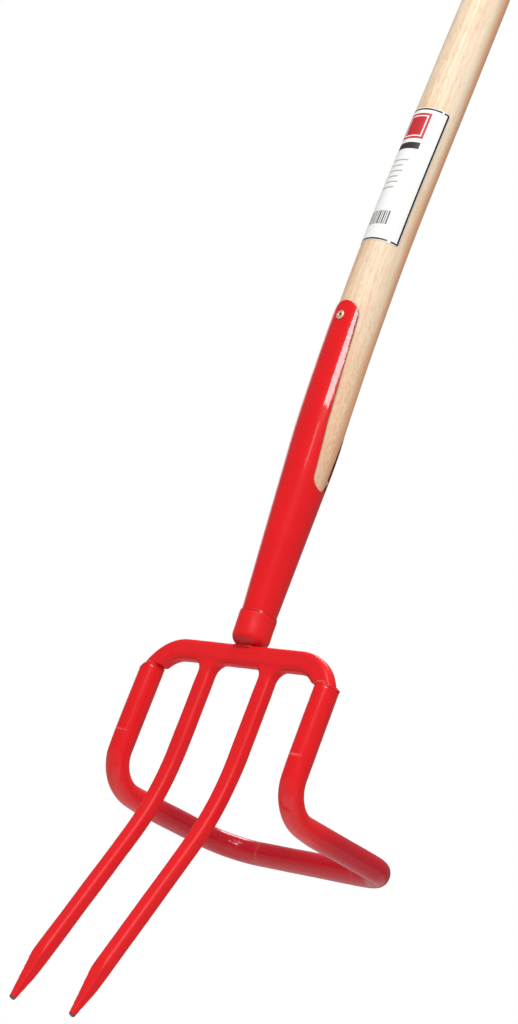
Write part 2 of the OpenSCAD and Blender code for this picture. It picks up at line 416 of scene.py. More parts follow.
class ShaderTree(NodeBench):
    """Places and joins shader nodes in one tree."""

    def add(self, kind: str, inputs: dict | None = None, **settings: object) -> bpy.types.Node:
        """Adds one shader node, whose type is given without "ShaderNode"."""
        return self.node("ShaderNode" + kind, inputs, **settings)

    def math(self, operation: str, *values: object) -> Link:
        """One Math node's result."""
        return self.add("Math", dict(enumerate(values)), operation=operation).outputs[0]

    def times(self, value: object, factor: object) -> Link:
        """A value times a factor."""
        return self.math("MULTIPLY", value, factor)

    def mix(self, share: object, first: object, second: object) -> Link:
        """A mix of two colours, with this share of the second."""
        return self.add("Mix", {0: share, 6: first, 7: second}, data_type="RGBA").outputs[2]

    def layers(self, base: object, *coats: tuple[object, object]) -> Link:
        """Lays colours over a base, one after another.

        Args:
            base: The colour or socket underneath.
            *coats: Share and colour of each coat, as a hex code or a socket.

        Returns:
            The layered colour's socket.
        """
        colour = base
        for share, coat in coats:
            colour = self.mix(share, colour, linear(coat) if isinstance(coat, str) else coat)
        return colour

    def band(
        self, value: object, low: float, high: float, to_low: float = 0.0, to_high: float = 1.0
    ) -> Link:
        """Maps a value smoothly, so that low gives to_low and high gives to_high."""
        inputs = dict(enumerate((value, low, high, to_low, to_high)))
        return self.add("MapRange", inputs, interpolation_type="SMOOTHSTEP").outputs[0]

    def noise(
        self, position: object, scale: object, detail: float = 3.0, roughness: float = 0.55
    ) -> Link:
        """One noise value, with this many cells per metre and layers of finer noise."""
        inputs = {"Vector": position, "Scale": scale, "Detail": detail, "Roughness": roughness}
        return self.add("TexNoise", inputs).outputs[0]

    def axes(self, vector: object) -> bpy.types.NodeOutputs | object:
        """The three parts of a vector."""
        return self.add("SeparateXYZ", {0: vector}).outputs

    def attribute(self, name: str) -> Link:
        """One of the piece's own vector attributes."""
        return self.add("Attribute", attribute_name=name).outputs["Vector"]

    def mark(self, name: str) -> Link:
        """The first part of one of the piece's attributes, such as its painted-light mark."""
        return self.axes(self.attribute(name))[0]


class Surface(ShaderTree):
    """A material's tree around its Principled shader."""

    def __init__(self, name: str) -> None:
        """Opens a new material.

        Args:
            name: Name of the material.
        """
        self.material = bpy.data.materials.new(name)
        self.material.use_nodes = True
        super().__init__(self.material.node_tree)
        self.shader = self.add("BsdfPrincipled")
        self.add("OutputMaterial", {"Surface": self.shader.outputs[0]})

    def position(self) -> Link:
        """The piece's own coordinates."""
        return self.add("TexCoord").outputs["Object"]

    def dress(self, inputs: dict[str, object]) -> None:
        """Sets or joins the shader's sockets by name."""
        for key, value in inputs.items():
            self.feed(self.shader.inputs[key], value)

    def bump(self, height: object, depth: float) -> None:
        """Feeds a height, with its depth in metres for 1, into the normal."""
        node = self.add("Bump", {"Height": height, "Distance": depth, "Strength": 1.0})
        self.dress({"Normal": node.outputs[0]})


class ShaderGroup:
    """A shader node group that is built once and placed in many materials."""

    def __init__(self, name: str, inputs: dict[str, object], outputs: tuple[str, ...]) -> None:
        """Makes the group's tree and its named sockets.

        Args:
            name: Name of the group.
            inputs: Default value by name, a tuple for a vector.
            outputs: Names of the values that it puts out.
        """
        group = bpy.data.node_groups.new(name, "ShaderNodeTree")
        self.shader = ShaderTree(group)
        for key, value in inputs.items():
            kind = "NodeSocketVector" if isinstance(value, tuple) else "NodeSocketFloat"
            group.interface.new_socket(key, in_out="INPUT", socket_type=kind).default_value = value
        for key in outputs:
            group.interface.new_socket(key, in_out="OUTPUT", socket_type="NodeSocketFloat")
        self.entry = group.nodes.new("NodeGroupInput").outputs
        self.exit = group.nodes.new("NodeGroupOutput").inputs

    def place(self, shader: ShaderTree, inputs: dict[str, object]) -> bpy.types.NodeOutputs | object:
        """Places the group in a material, with values or sockets by name, for its outputs."""
        return shader.add("Group", inputs, node_tree=self.shader.tree).outputs


class SharedEffects:
    """The shader groups, each placed several times in the finishes."""

    def __init__(self) -> None:
        """Builds each group once."""
        self.mottle = self._mottle()
        self.skin = self._skin()
        self.box_mask = self._box_mask()

    @staticmethod
    def _mottle() -> ShaderGroup:
        """Slow colour drift and fine specks over any surface.

        Returns:
            The group.
        """
        scales = {"Drift Scale": 30.0, "Speck Scale": 900.0, "Speck Share": 0.3}
        group = ShaderGroup("mottle_and_specks", {"Position": (0.0, 0.0, 0.0), **scales}, ("Drift", "Specks"))
        shader, entry = group.shader, group.entry
        drift = shader.noise(entry["Position"], entry["Drift Scale"], 4.0, 0.6)
        cells = shader.add("TexVoronoi", {"Vector": entry["Position"], "Scale": entry["Speck Scale"]})
        near = shader.math("LESS_THAN", cells.outputs["Distance"], 0.16)
        picked = shader.add("SeparateColor", {0: cells.outputs["Color"]}).outputs[0]
        chosen = shader.math("LESS_THAN", picked, entry["Speck Share"])
        shader.feed(group.exit["Drift"], shader.band(drift, 0.3, 0.7))
        shader.feed(group.exit["Specks"], shader.times(near, chosen))
        return group

    @staticmethod
    def _skin() -> ShaderGroup:
        """Surface height of a sprayed or rolled skin: slow waves and fine peel.

        Returns:
            The group.
        """
        inputs = {"Position": (0.0, 0.0, 0.0), "Wave": 0.4, "Peel": 0.2}
        group = ShaderGroup("surface_skin", inputs, ("Height",))
        shader, entry = group.shader, group.entry
        waves = shader.times(shader.noise(entry["Position"], 90.0, 2.0), entry["Wave"])
        peel = shader.times(shader.noise(entry["Position"], 1300.0, 2.0), entry["Peel"])
        shader.feed(group.exit["Height"], shader.math("ADD", waves, peel))
        return group

    @staticmethod
    def _box_mask() -> ShaderGroup:
        """A mask that is 1 inside a rectangle of the label's own plane.

        Returns:
            The group.
        """
        names = ("Across", "Along", "Left", "Right", "Low", "High")
        group = ShaderGroup("printed_block", dict.fromkeys(names, 0.0), ("Mask",))
        shader, entry = group.shader, group.entry

        def within(value: str, low: str, high: str) -> Link:
            """1 where an input lies between two others."""
            above = shader.math("GREATER_THAN", entry[value], entry[low])
            return shader.times(above, shader.math("LESS_THAN", entry[value], entry[high]))

        mask = shader.times(within("Across", "Left", "Right"), within("Along", "Low", "High"))
        shader.feed(group.exit["Mask"], mask)
        return group


# ---- finishes ----


@dataclass(frozen=True)
class RedPaint:
    """Gloss red coat on steel, with optional painted shade towards the back, painted shade and painted
    highlights from the piece's marks, and bare worn parts.
    """

    name: str
    bright: str = "#EA181E"
    deep: str = "#D2121B"
    fleck: str = "#A5121A"
    # Colours of painted shade towards the back, painted shade at marked places, and pale painted highlights.
    shade_crimson: str = "#A8162B"
    painted_shade: str = "#3A1215"
    highlight_pink: str = "#F7A9A4"
    bare_dark: str = "#4A3A36"
    bare_light: str = "#7D7370"
    gloss_roughness: float = 0.3
    wave: float = 0.35
    peel: float = 0.1
    coat: float = 0.8
    coat_roughness: float = 0.05
    shade_from: float | None = None
    shade_over: float = 50 * MM
    bare_below: float | None = None

    def make(self, shared: SharedEffects) -> Material:
        """Builds the material.

        Args:
            shared: The shared shader groups.

        Returns:
            The material.
        """
        surface = Surface(self.name)
        position = surface.position()
        mottle = shared.mottle.place(
            surface, {"Position": position, "Drift Scale": 24.0, "Speck Scale": 420.0, "Speck Share": 0.02}
        )
        fine = surface.noise(position, 260.0)
        colour = surface.layers(
            linear(self.bright),
            (surface.band(mottle["Drift"], 0.0, 1.0, 0.0, 0.22), self.deep),
            (surface.band(fine, 0.35, 0.75, 0.0, 0.12), self.deep),
            (surface.times(mottle["Specks"], 0.25), self.fleck),
        )
        if self.shade_from is not None:
            # Painted shade: the paint darkens towards +Y, where the heel's rear lies in shade.
            behind = surface.axes(position)[1]
            rear_shade = surface.band(behind, self.shade_from, self.shade_from + self.shade_over, 0.0, 0.62)
            colour = surface.layers(colour, (rear_shade, self.shade_crimson))
        # Painted shade where the piece's shade mark is set, and pale pink painted highlights where its
        # painted-light mark is set.
        highlights = surface.times(surface.mark("painted_light_and_shade"), surface.band(fine, 0.25, 0.5, 0.45, 0.95))
        colour = surface.layers(colour, (surface.mark("painted_shade"), self.painted_shade), (highlights, self.highlight_pink))
        rough = surface.band(fine, 0.25, 0.75, self.gloss_roughness - 0.05, self.gloss_roughness + 0.08)
        metallic = 0.0
        if self.bare_below is not None:
            bare = self._bare(surface, position)
            steel = surface.mix(fine, linear(self.bare_dark), linear(self.bare_light))
            colour = surface.layers(colour, (bare, steel))
            rough = surface.math("MULTIPLY_ADD", bare, 0.25, rough)
            metallic = surface.times(bare, 0.8)
        surface.dress(
            {
                "Base Color": colour,
                "Roughness": rough,
                "Metallic": metallic,
                "Specular IOR Level": 0.1,
                "Coat Weight": self.coat,
                "Coat Roughness": self.coat_roughness,
            }
        )
        skin = shared.skin.place(surface, {"Position": position, "Wave": self.wave, "Peel": self.peel})
        surface.bump(skin["Height"], 0.2 * MM)
        return surface.material

    def _bare(self, surface: Surface, position: Link) -> Link:
        """A mask of the steel that shows below a ragged edge of the paint.

        Args:
            surface: The material's tree.
            position: The coordinates' socket.

        Returns:
            The mask's socket.
        """
        level = surface.axes(position)[2]
        ragged = surface.math("MULTIPLY_ADD", surface.noise(position, 500.0), 6 * MM, level)
        return surface.band(ragged, self.bare_below + 2 * MM, self.bare_below + 4 * MM, 1.0, 0.0)


class RedCoat(Enum):
    """The red coats on the tool's parts."""

    SOCKET = RedPaint("red_gloss")
    HEAD = RedPaint(
        "red_gloss_head",
        gloss_roughness=0.42,
        wave=0.3,
        peel=0.05,
        coat=0.35,
        coat_roughness=0.35,
        bare_below=-299 * MM,
    )
    # The heel's paint carries painted shade towards its rear.
    HEEL = RedPaint(
        "red_gloss_heel", wave=0.2, peel=0.04, coat=0.65, coat_roughness=0.14, shade_from=25 * MM
    )
    WELD = RedPaint(
        "red_weld",
        bright="#DB1A20",
        deep="#A5121A",
        gloss_roughness=0.45,
        wave=0.7,
        peel=0.2,
        coat=0.2,
        coat_roughness=0.3,
    )


@dataclass(frozen=True)
class AshWood:
    """Pale ash under clear lacquer, its grain along the shaft."""

    name: str = "lacquered_ash"
    pale: str = "#F1DDC2"
    mid: str = "#E5C9A3"
    dark: str = "#D3A27A"
    pore: str = "#C9966A"
    warm: str = "#EFC9A8"
    # Painted tones: an orange one for painted shade at the right-rear edge and painted red reflection low on
    # the shaft, a pale one for painted light on the right half, and a dark one for a painted shadow line
    # beside the straps.
    shade_and_reflection_tone: str = "#EFB488"
    lit_side_tone: str = "#FFEFD4"
    seam: str = "#5A3A30"
    speck: str = "#B98D5C"
    pith: Triple = (0.024, 0.041, 0.0)

    def make(self, shared: SharedEffects) -> Material:
        """Builds the material.

        Args:
            shared: The shared shader groups.

        Returns:
            The material.
        """
        surface = Surface(self.name)
        grain = surface.attribute("grain")

        def drawn_out(along: float, shift: float) -> Link:
            """Coordinates that are stretched along the shaft."""
            inputs = {"Vector": grain, "Scale": (1.0, 1.0, along), "Location": (shift, shift, shift)}
            return surface.add("Mapping", inputs).outputs[0]

        rings = self._rings(surface, drawn_out(0.05, 0.0), surface.noise(drawn_out(0.16, 0.3), 28.0))
        streak = surface.noise(drawn_out(0.035, 0.1), 420.0, 3.0, 0.6)
        pores = surface.noise(drawn_out(0.12, 0.7), 1000.0, 2.0)
        patch = surface.noise(drawn_out(0.22, 0.5), 40.0)
        # Flecks of painted red reflection near the socket.
        red_reflection_flecks = surface.band(surface.noise(drawn_out(0.35, 0.2), 620.0, 2.0), 0.42, 0.62, 0.3, 1.0)
        mottle = shared.mottle.place(
            surface, {"Position": grain, "Drift Scale": 9.0, "Speck Scale": 260.0, "Speck Share": 0.03}
        )
        right, back, up = surface.axes(grain)
        # side grows from the shaft's front-left towards its right-rear edge.
        side = surface.math("MULTIPLY_ADD", surface.math("ADD", right, back), 36.0, surface.times(patch, 0.3))
        colour = surface.layers(
            linear(self.pale),
            (surface.band(rings, 0.45, 1.0, 0.0, 0.95), self.mid),
            (surface.band(streak, 0.45, 0.7, 0.0, 0.8), self.mid),
            (surface.band(patch, 0.46, 0.7, 0.0, 0.55), self.dark),
            (surface.band(pores, 0.54, 0.7, 0.0, 0.6), self.pore),
            (surface.times(mottle["Drift"], 0.22), self.warm),
            # Painted light: a pale tone lightens the shaft's right half, and an orange tone is painted shade
            # along its right-rear edge.
            (surface.band(side, 0.15, 0.6, 0.0, 0.35), self.lit_side_tone),
            (surface.band(side, 0.8, 1.08, 0.0, 0.95), self.shade_and_reflection_tone),
            # Painted reflection: orange flecks on the lower shaft stand in for the red paint reflected onto
            # the wood.
            (surface.times(surface.band(up, 0.16, 0.38, 0.95, 0.0), red_reflection_flecks), self.shade_and_reflection_tone),
            # Painted shadow: a dark line on the wood beside the straps' edges.
            (surface.times(surface.mark("painted_light_and_shade"), 0.85), self.seam),
            (surface.times(mottle["Specks"], 0.3), self.speck),
        )
        rough = surface.band(streak, 0.3, 0.8, 0.45, 0.62)
        surface.dress({"Base Color": colour, "Roughness": rough, "Coat Weight": 0.1, "Coat Roughness": 0.3})
        skin = shared.skin.place(surface, {"Position": grain, "Wave": 0.3, "Peel": 0.05})["Height"]
        fibres = surface.math("MULTIPLY_ADD", surface.band(pores, 0.45, 0.75, 1.0, 0.0), 0.35, skin)
        surface.bump(fibres, 0.12 * MM)
        return surface.material

    def _rings(self, surface: Surface, drawn: Link, bend: Link) -> Link:
        """The year rings, about a pith outside the shaft.

        Args:
            surface: The material's tree.
            drawn: The stretched coordinates.
            bend: Noise that makes the rings wander.

        Returns:
            The rings' socket.
        """
        drift = surface.add("CombineXYZ", {0: surface.times(bend, 0.016), 1: surface.times(bend, 0.011)})
        shifted = surface.add("VectorMath", {0: drawn, 1: self.pith}, operation="ADD")
        warped = surface.add("VectorMath", {0: shifted.outputs[0], 1: drift.outputs[0]}, operation="ADD")
        wave = {"Scale": 58.0, "Distortion": 1.6, "Detail": 2.0, "Detail Scale": 1.4}
        return surface.add(
            "TexWave",
            {"Vector": warped.outputs[0], **wave},
            wave_type="RINGS",
            rings_direction="Z",
            wave_profile="SAW",
        ).outputs["Fac"]


@dataclass(frozen=True)
class RivetSteel:
    """Bare turned steel with a little tarnish."""

    name: str = "rivet_steel"
    light: str = "#FBDFC0"
    tarnish: str = "#DDB08C"
    pit: str = "#5E534C"
    painted_shade: str = "#6B4326"

    def make(self, shared: SharedEffects) -> Material:
        """Builds the material.

        Args:
            shared: The shared shader groups.

        Returns:
            The material.
        """
        surface = Surface(self.name)
        position = surface.position()
        mottle = shared.mottle.place(
            surface, {"Position": position, "Drift Scale": 420.0, "Speck Scale": 2600.0, "Speck Share": 0.3}
        )
        colour = surface.layers(
            linear(self.light),
            (surface.times(mottle["Drift"], 0.55), self.tarnish),
            (surface.times(mottle["Specks"], 0.4), self.pit),
            # Painted shade in the rivet head's hollow.
            (surface.mark("painted_shade"), self.painted_shade),
        )
        rough = surface.band(mottle["Drift"], 0.0, 1.0, 0.28, 0.5)
        surface.dress({"Base Color": colour, "Roughness": rough, "Metallic": 0.6})
        skin = shared.skin.place(surface, {"Position": position, "Wave": 0.2, "Peel": 0.4})
        surface.bump(skin["Height"], 0.08 * MM)
        return surface.material


@dataclass(frozen=True)
class PrintedLabel:
    """White film with a generic print: a keyline, blocks, rules and bars.

    The print's sizes are in millimetres, from the middle of the film's foot.
    A block is given by its left, right, low and high edges, with the last two
    as distances below the print's top, a rule by its left, right and low edges,
    and a bar by its left edge and its width.
    """

    name: str = "printed_label"
    half_width: float = 25.8
    length: float = 133.0
    film: str = "#F6F5F3"
    patch: str = "#ECEAE6"
    ink: str = "#1F1F24"
    dark: str = "#3A3236"
    red: str = "#C92A33"
    grey: str = "#8C8C8F"
    dust: str = "#9A948C"
    side_margin: float = 0.6
    end_margin: float = 0.7
    line: float = 1.6
    panel: tuple[float, ...] = (-11.5, 11.0, 31.0, 5.0)
    strip: tuple[float, ...] = (-11.5, 11.0, 41.5, 35.0)
    frame_outer: tuple[float, ...] = (-9.3, 8.8, 28.8, 7.2)
    frame_inner: tuple[float, ...] = (-8.1, 7.6, 27.6, 8.4)
    rule_height: float = 1.3
    rules: tuple[Triple, ...] = (
        (-9.5, 6.5, 78.5),
        (-8.5, 3.5, 73.0),
        (-9.5, 5.0, 67.5),
        (-9.0, 2.5, 62.0),
        (-8.5, 4.5, 56.5),
        (-10.5, 3.0, 51.0),
    )
    bar_ends: tuple[float, float] = (15.5, 28.5)
    bars: tuple[tuple[float, float], ...] = (
        (-10.5, 0.9),
        (-8.6, 1.6),
        (-6.0, 0.8),
        (-4.3, 1.3),
        (-1.9, 0.8),
        (-0.4, 1.7),
        (2.2, 0.8),
        (3.9, 1.4),
        (6.2, 0.8),
        (7.9, 1.5),
    )

    def _below_top(self, block: tuple[float, ...]) -> tuple[float, ...]:
        """A block's edges, all measured from the film's foot and middle."""
        top = self.length - self.end_margin
        return block[0], block[1], top - block[2], top - block[3]

    def _keyline(self) -> list[tuple[float, ...]]:
        """Edges of the line round the film, broken near its corners.

        Returns:
            Left, right, low and high edges of each length, from the film's foot and middle.
        """
        edge, foot, line = self.half_width - self.side_margin, self.end_margin, self.line
        top = self.length - foot
        return [
            (edge - line, edge, 1.5, top - 1.0),
            (-edge, line - edge, 1.5, top - 1.0),
            (-edge + 3, edge - 7, top - line, top),
            (edge - 5, edge - 0.6, top - line, top),
            (-edge + 2, edge - 10, foot, foot + line),
            (edge - 7, edge - 0.6, foot, foot + line),
        ]

    def make(self, shared: SharedEffects) -> Material:
        """Builds the material.

        Args:
            shared: The shared shader groups.

        Returns:
            The material.
        """
        surface = Surface(self.name)
        place = surface.axes(surface.add("UVMap", uv_map="print").outputs[0])
        plane = {
            "Across": surface.math("MULTIPLY_ADD", place[0], 2 * self.half_width, -self.half_width),
            "Along": surface.times(place[1], self.length),
        }

        def printed(*blocks: tuple[float, ...]) -> Link:
            """One mask that covers all of these blocks.

            Args:
                *blocks: The blocks' edges, from the film's foot and middle.

            Returns:
                The mask's socket.
            """
            total = None
            for block in blocks:
                sizes = dict(zip(("Left", "Right", "Low", "High"), block))
                mask = shared.box_mask.place(surface, {**plane, **sizes})["Mask"]
                total = mask if total is None else surface.math("MAXIMUM", total, mask)
            return total

        rules = printed(*((left, right, low, low + self.rule_height) for left, right, low in self.rules))
        bars = printed(*((left, left + width, *self.bar_ends) for left, width in self.bars))
        blocks = (self.panel, self.strip, self.frame_outer, self.frame_inner)
        panel, strip, outer, inner = (printed(self._below_top(block)) for block in blocks)
        frame = surface.math("SUBTRACT", outer, inner)
        grain = surface.attribute("grain")
        mottle = shared.mottle.place(
            surface, {"Position": grain, "Drift Scale": 60.0, "Speck Scale": 700.0, "Speck Share": 0.04}
        )
        paper = surface.layers(linear(self.film), (surface.times(mottle["Drift"], 0.35), self.patch))
        colour = surface.layers(
            paper,
            (surface.times(rules, 0.75), self.grey),
            (surface.times(bars, 0.85), self.ink),
            (printed(*self._keyline()), self.ink),
            (strip, self.dark),
            (panel, self.red),
            (frame, paper),
            (surface.times(mottle["Specks"], 0.25), self.dust),
        )
        rough = surface.band(mottle["Drift"], 0.0, 1.0, 0.38, 0.5)
        surface.dress({"Base Color": colour, "Roughness": rough, "Specular IOR Level": 0.4})
        skin = shared.skin.place(surface, {"Position": grain, "Wave": 0.5, "Peel": 0.1})
        surface.bump(skin["Height"], 0.1 * MM)
        return surface.material


@dataclass(frozen=True)
class StudioPlaster:
    """Plain pale floor."""

    name: str = "studio_floor"
    tone: str = "#F4F4F2"
    patch: str = "#EDEDEA"

    def make(self, shared: SharedEffects) -> Material:
        """Builds the material.

        Args:
            shared: The shared shader groups.

        Returns:
            The material.
        """
        surface = Surface(self.name)
        mottle = shared.mottle.place(surface, {"Position": surface.position(), "Drift Scale": 2.0})
        colour = surface.layers(linear(self.tone), (surface.times(mottle["Drift"], 0.3), self.patch))
        surface.dress({"Base Color": colour, "Roughness": 0.85})
        return surface.material


# ---- shaft and label ----


@dataclass(frozen=True)
class ShaftLine:
    """Centre line of socket and shaft, by distance above the tread."""

    tread: float = 17.5 * MM
    lean: float = math.radians(3.4)
    bend_start: float = 220 * MM
    bend_radius: float = 2450 * MM
    bend_angle: float = math.radians(4.8)

    def frames(self, distance: np.ndarray) -> tuple[np.ndarray, np.ndarray, np.ndarray]:
        """Places on the line.

        Args:
            distance: Distances above the tread.

        Returns:
            Centres, unit vectors to the front, and unit vectors up the line.
        """
        distance = np.asarray(distance, float)
        bend_length = self.bend_radius * self.bend_angle
        turn = np.clip(distance - self.bend_start, 0, bend_length) / self.bend_radius
        rest = np.maximum(distance - self.bend_start - bend_length, 0)
        back = self.bend_radius * (1 - np.cos(turn)) + rest * math.sin(self.bend_angle)
        up = np.minimum(distance, self.bend_start) + self.bend_radius * np.sin(turn)
        up = up + rest * math.cos(self.bend_angle)
        zero = np.zeros_like(distance)
        c, s = math.cos(self.lean), math.sin(self.lean)
        centre = np.stack([zero, back * c - up * s, self.tread + back * s + up * c], axis=-1)
        tilt = turn - self.lean
        front = np.stack([zero, -np.cos(tilt), np.sin(tilt)], axis=-1)
        along = np.stack([zero, np.sin(tilt), np.cos(tilt)], axis=-1)
        return centre, front, along

    def wrap(self, distance: np.ndarray, angle: np.ndarray, radius: np.ndarray) -> np.ndarray:
        """Points around the line, with angles from the front towards +X."""
        centre, front, _ = self.frames(distance)
        return centre + radius[:, None] * (front * np.cos(angle)[:, None] + RIGHT * np.sin(angle)[:, None])


@dataclass
class Handle:
    """The ash shaft, from its foot in the socket to its rounded top."""

    line: ShaftLine
    foot: float = 26.2 * MM
    top: float = 1125.1 * MM
    top_edge: float = 12 * MM
    past_straps: float = 5 * MM
    close_rings: float = 1.5 * MM
    wide_rings: float = 5 * MM
    around: int = 144
    swell: float = 0.06 * MM
    swell_length: float = 22 * MM
    swell_draw: Triple = (1.0, 1.0, 0.25)
    marks: tuple[float, ...] = (26.2, 175, 190, 205, 425, 665, 1130)
    radii: tuple[float, ...] = (12.8, 19.3, 19.85, 20.0, 20.0, 19.5, 19.5)

    def radius(self, distance: np.ndarray | float) -> np.ndarray:
        """Radius of the wood at distances above the tread."""
        return np.interp(distance, np.array(self.marks) * MM, np.array(self.radii) * MM)

    def build(self, material: Material, socket: "Socket") -> None:
        """Builds the wood.

        Args:
            material: The wood's finish.
            socket: The socket, whose straps' edges cast a painted shadow line on the wood.
        """
        strapped_to = socket.strap_end + self.past_straps
        strapped = np.arange(self.foot, strapped_to, self.close_rings)
        bare = np.arange(strapped_to, self.top - self.top_edge, self.wide_rings)
        turn = quarter_turn(10)
        crown_at = self.top - self.top_edge + self.top_edge * np.sin(turn)
        crown_radius = self.radius(self.top) - self.top_edge * (1 - np.cos(turn))
        inner = np.linspace(crown_radius[-1], 0, 5)[1:]
        at = np.concatenate([[self.foot], strapped, bare, crown_at, np.full(len(inner), self.top)])
        size = np.concatenate([[0.0], self.radius(strapped), self.radius(bare), crown_radius, inner])
        distance, angle, radius = ring_grid(at, size, self.around)
        grain = grain_of(distance, angle, radius)
        swells = ripple(grain * np.array(self.swell_draw), self.swell_length, 11) * (radius > 5 * MM)
        raised = self.swell * (np.minimum(swells, 1.0) - 1)
        points = self.line.wrap(distance, angle, radius + raised)
        # Painted shadow beside the straps' edges, carried in the painted-light mark.
        seam = socket.seam(distance, np.where(angle > math.pi, angle - 2 * math.pi, angle), radius)
        shell = Shell(points, grid_faces(len(at), self.around, True), {"grain": grain, "painted_light_and_shade": spread(seam)})
        hand_over(shell.build("ash_shaft", material), Slot.ASH, "handle_shaft")


@dataclass
class Label:
    """The printed film around the shaft's front."""

    line: ShaftLine
    handle: Handle
    low: float = 355 * MM
    length: float = 133 * MM
    half_angle: float = math.radians(74)
    corner: float = 3 * MM
    lift: float = 0.08 * MM
    film: float = 0.2 * MM
    spacing: float = 4 * MM
    columns: int = 49

    def build(self, material: Material) -> None:
        """Builds the film.

        Args:
            material: The print.
        """
        ends = self.corner * (1 - np.cos(quarter_turn(7)))
        middle = np.arange(self.corner + self.spacing, self.length - self.corner, self.spacing)
        at = np.concatenate([ends, middle, self.length - ends[::-1]])
        depth = np.clip(self.corner - np.minimum(at, self.length - at), 0, self.corner)
        inset = self.corner - np.sqrt(np.maximum(self.corner**2 - depth**2, 0))
        rows, columns = len(at), self.columns
        distance = np.repeat(self.low + at, columns)
        base = self.handle.radius(distance)
        half = base * self.half_angle - np.repeat(inset, columns)
        angle = np.tile(np.linspace(-1, 1, columns), rows) * half / base
        sides = [self.line.wrap(distance, angle, base + self.lift + film) for film in (self.film, 0.0)]
        count = rows * columns
        front = grid_faces(rows, columns, False)
        back = [tuple(count + i for i in reversed(f)) for f in front]
        rim = [*range(columns), *[r * columns + columns - 1 for r in range(1, rows)]]
        rim += [*range(count - 2, count - columns - 1, -1), *[r * columns for r in range(rows - 2, 0, -1)]]
        edge = [(a, b, b + count, a + count) for a, b in zip(rim, rim[1:] + rim[:1])]
        grain = grain_of(distance, angle, base)
        shell = Shell(np.vstack(sides), front + back + edge, {"grain": np.vstack([grain, grain])})
        piece = shell.build("printed_label", material, weld=HAIR)
        self._lay_print(piece.data)
        hand_over(piece, Slot.LABEL, "product_label")

    def _lay_print(self, mesh: bpy.types.Mesh) -> None:
        """Gives the film a UV map that is flat and true to size.

        Args:
            mesh: The film's mesh.
        """
        grain = read_rows(mesh.attributes["grain"].data, "vector")
        base = self.handle.radius(grain[:, 2])
        arc = np.arctan2(grain[:, 0], -grain[:, 1]) * base
        width = 2 * base[0] * self.half_angle
        uv = np.stack([arc / width + 0.5, (grain[:, 2] - self.low) / self.length], axis=-1)
        index = np.zeros(len(mesh.loops), int)
        mesh.loops.foreach_get("vertex_index", index)
        mesh.uv_layers.new(name="print").data.foreach_set("uv", uv[index].ravel())


# ---- socket and rivet ----


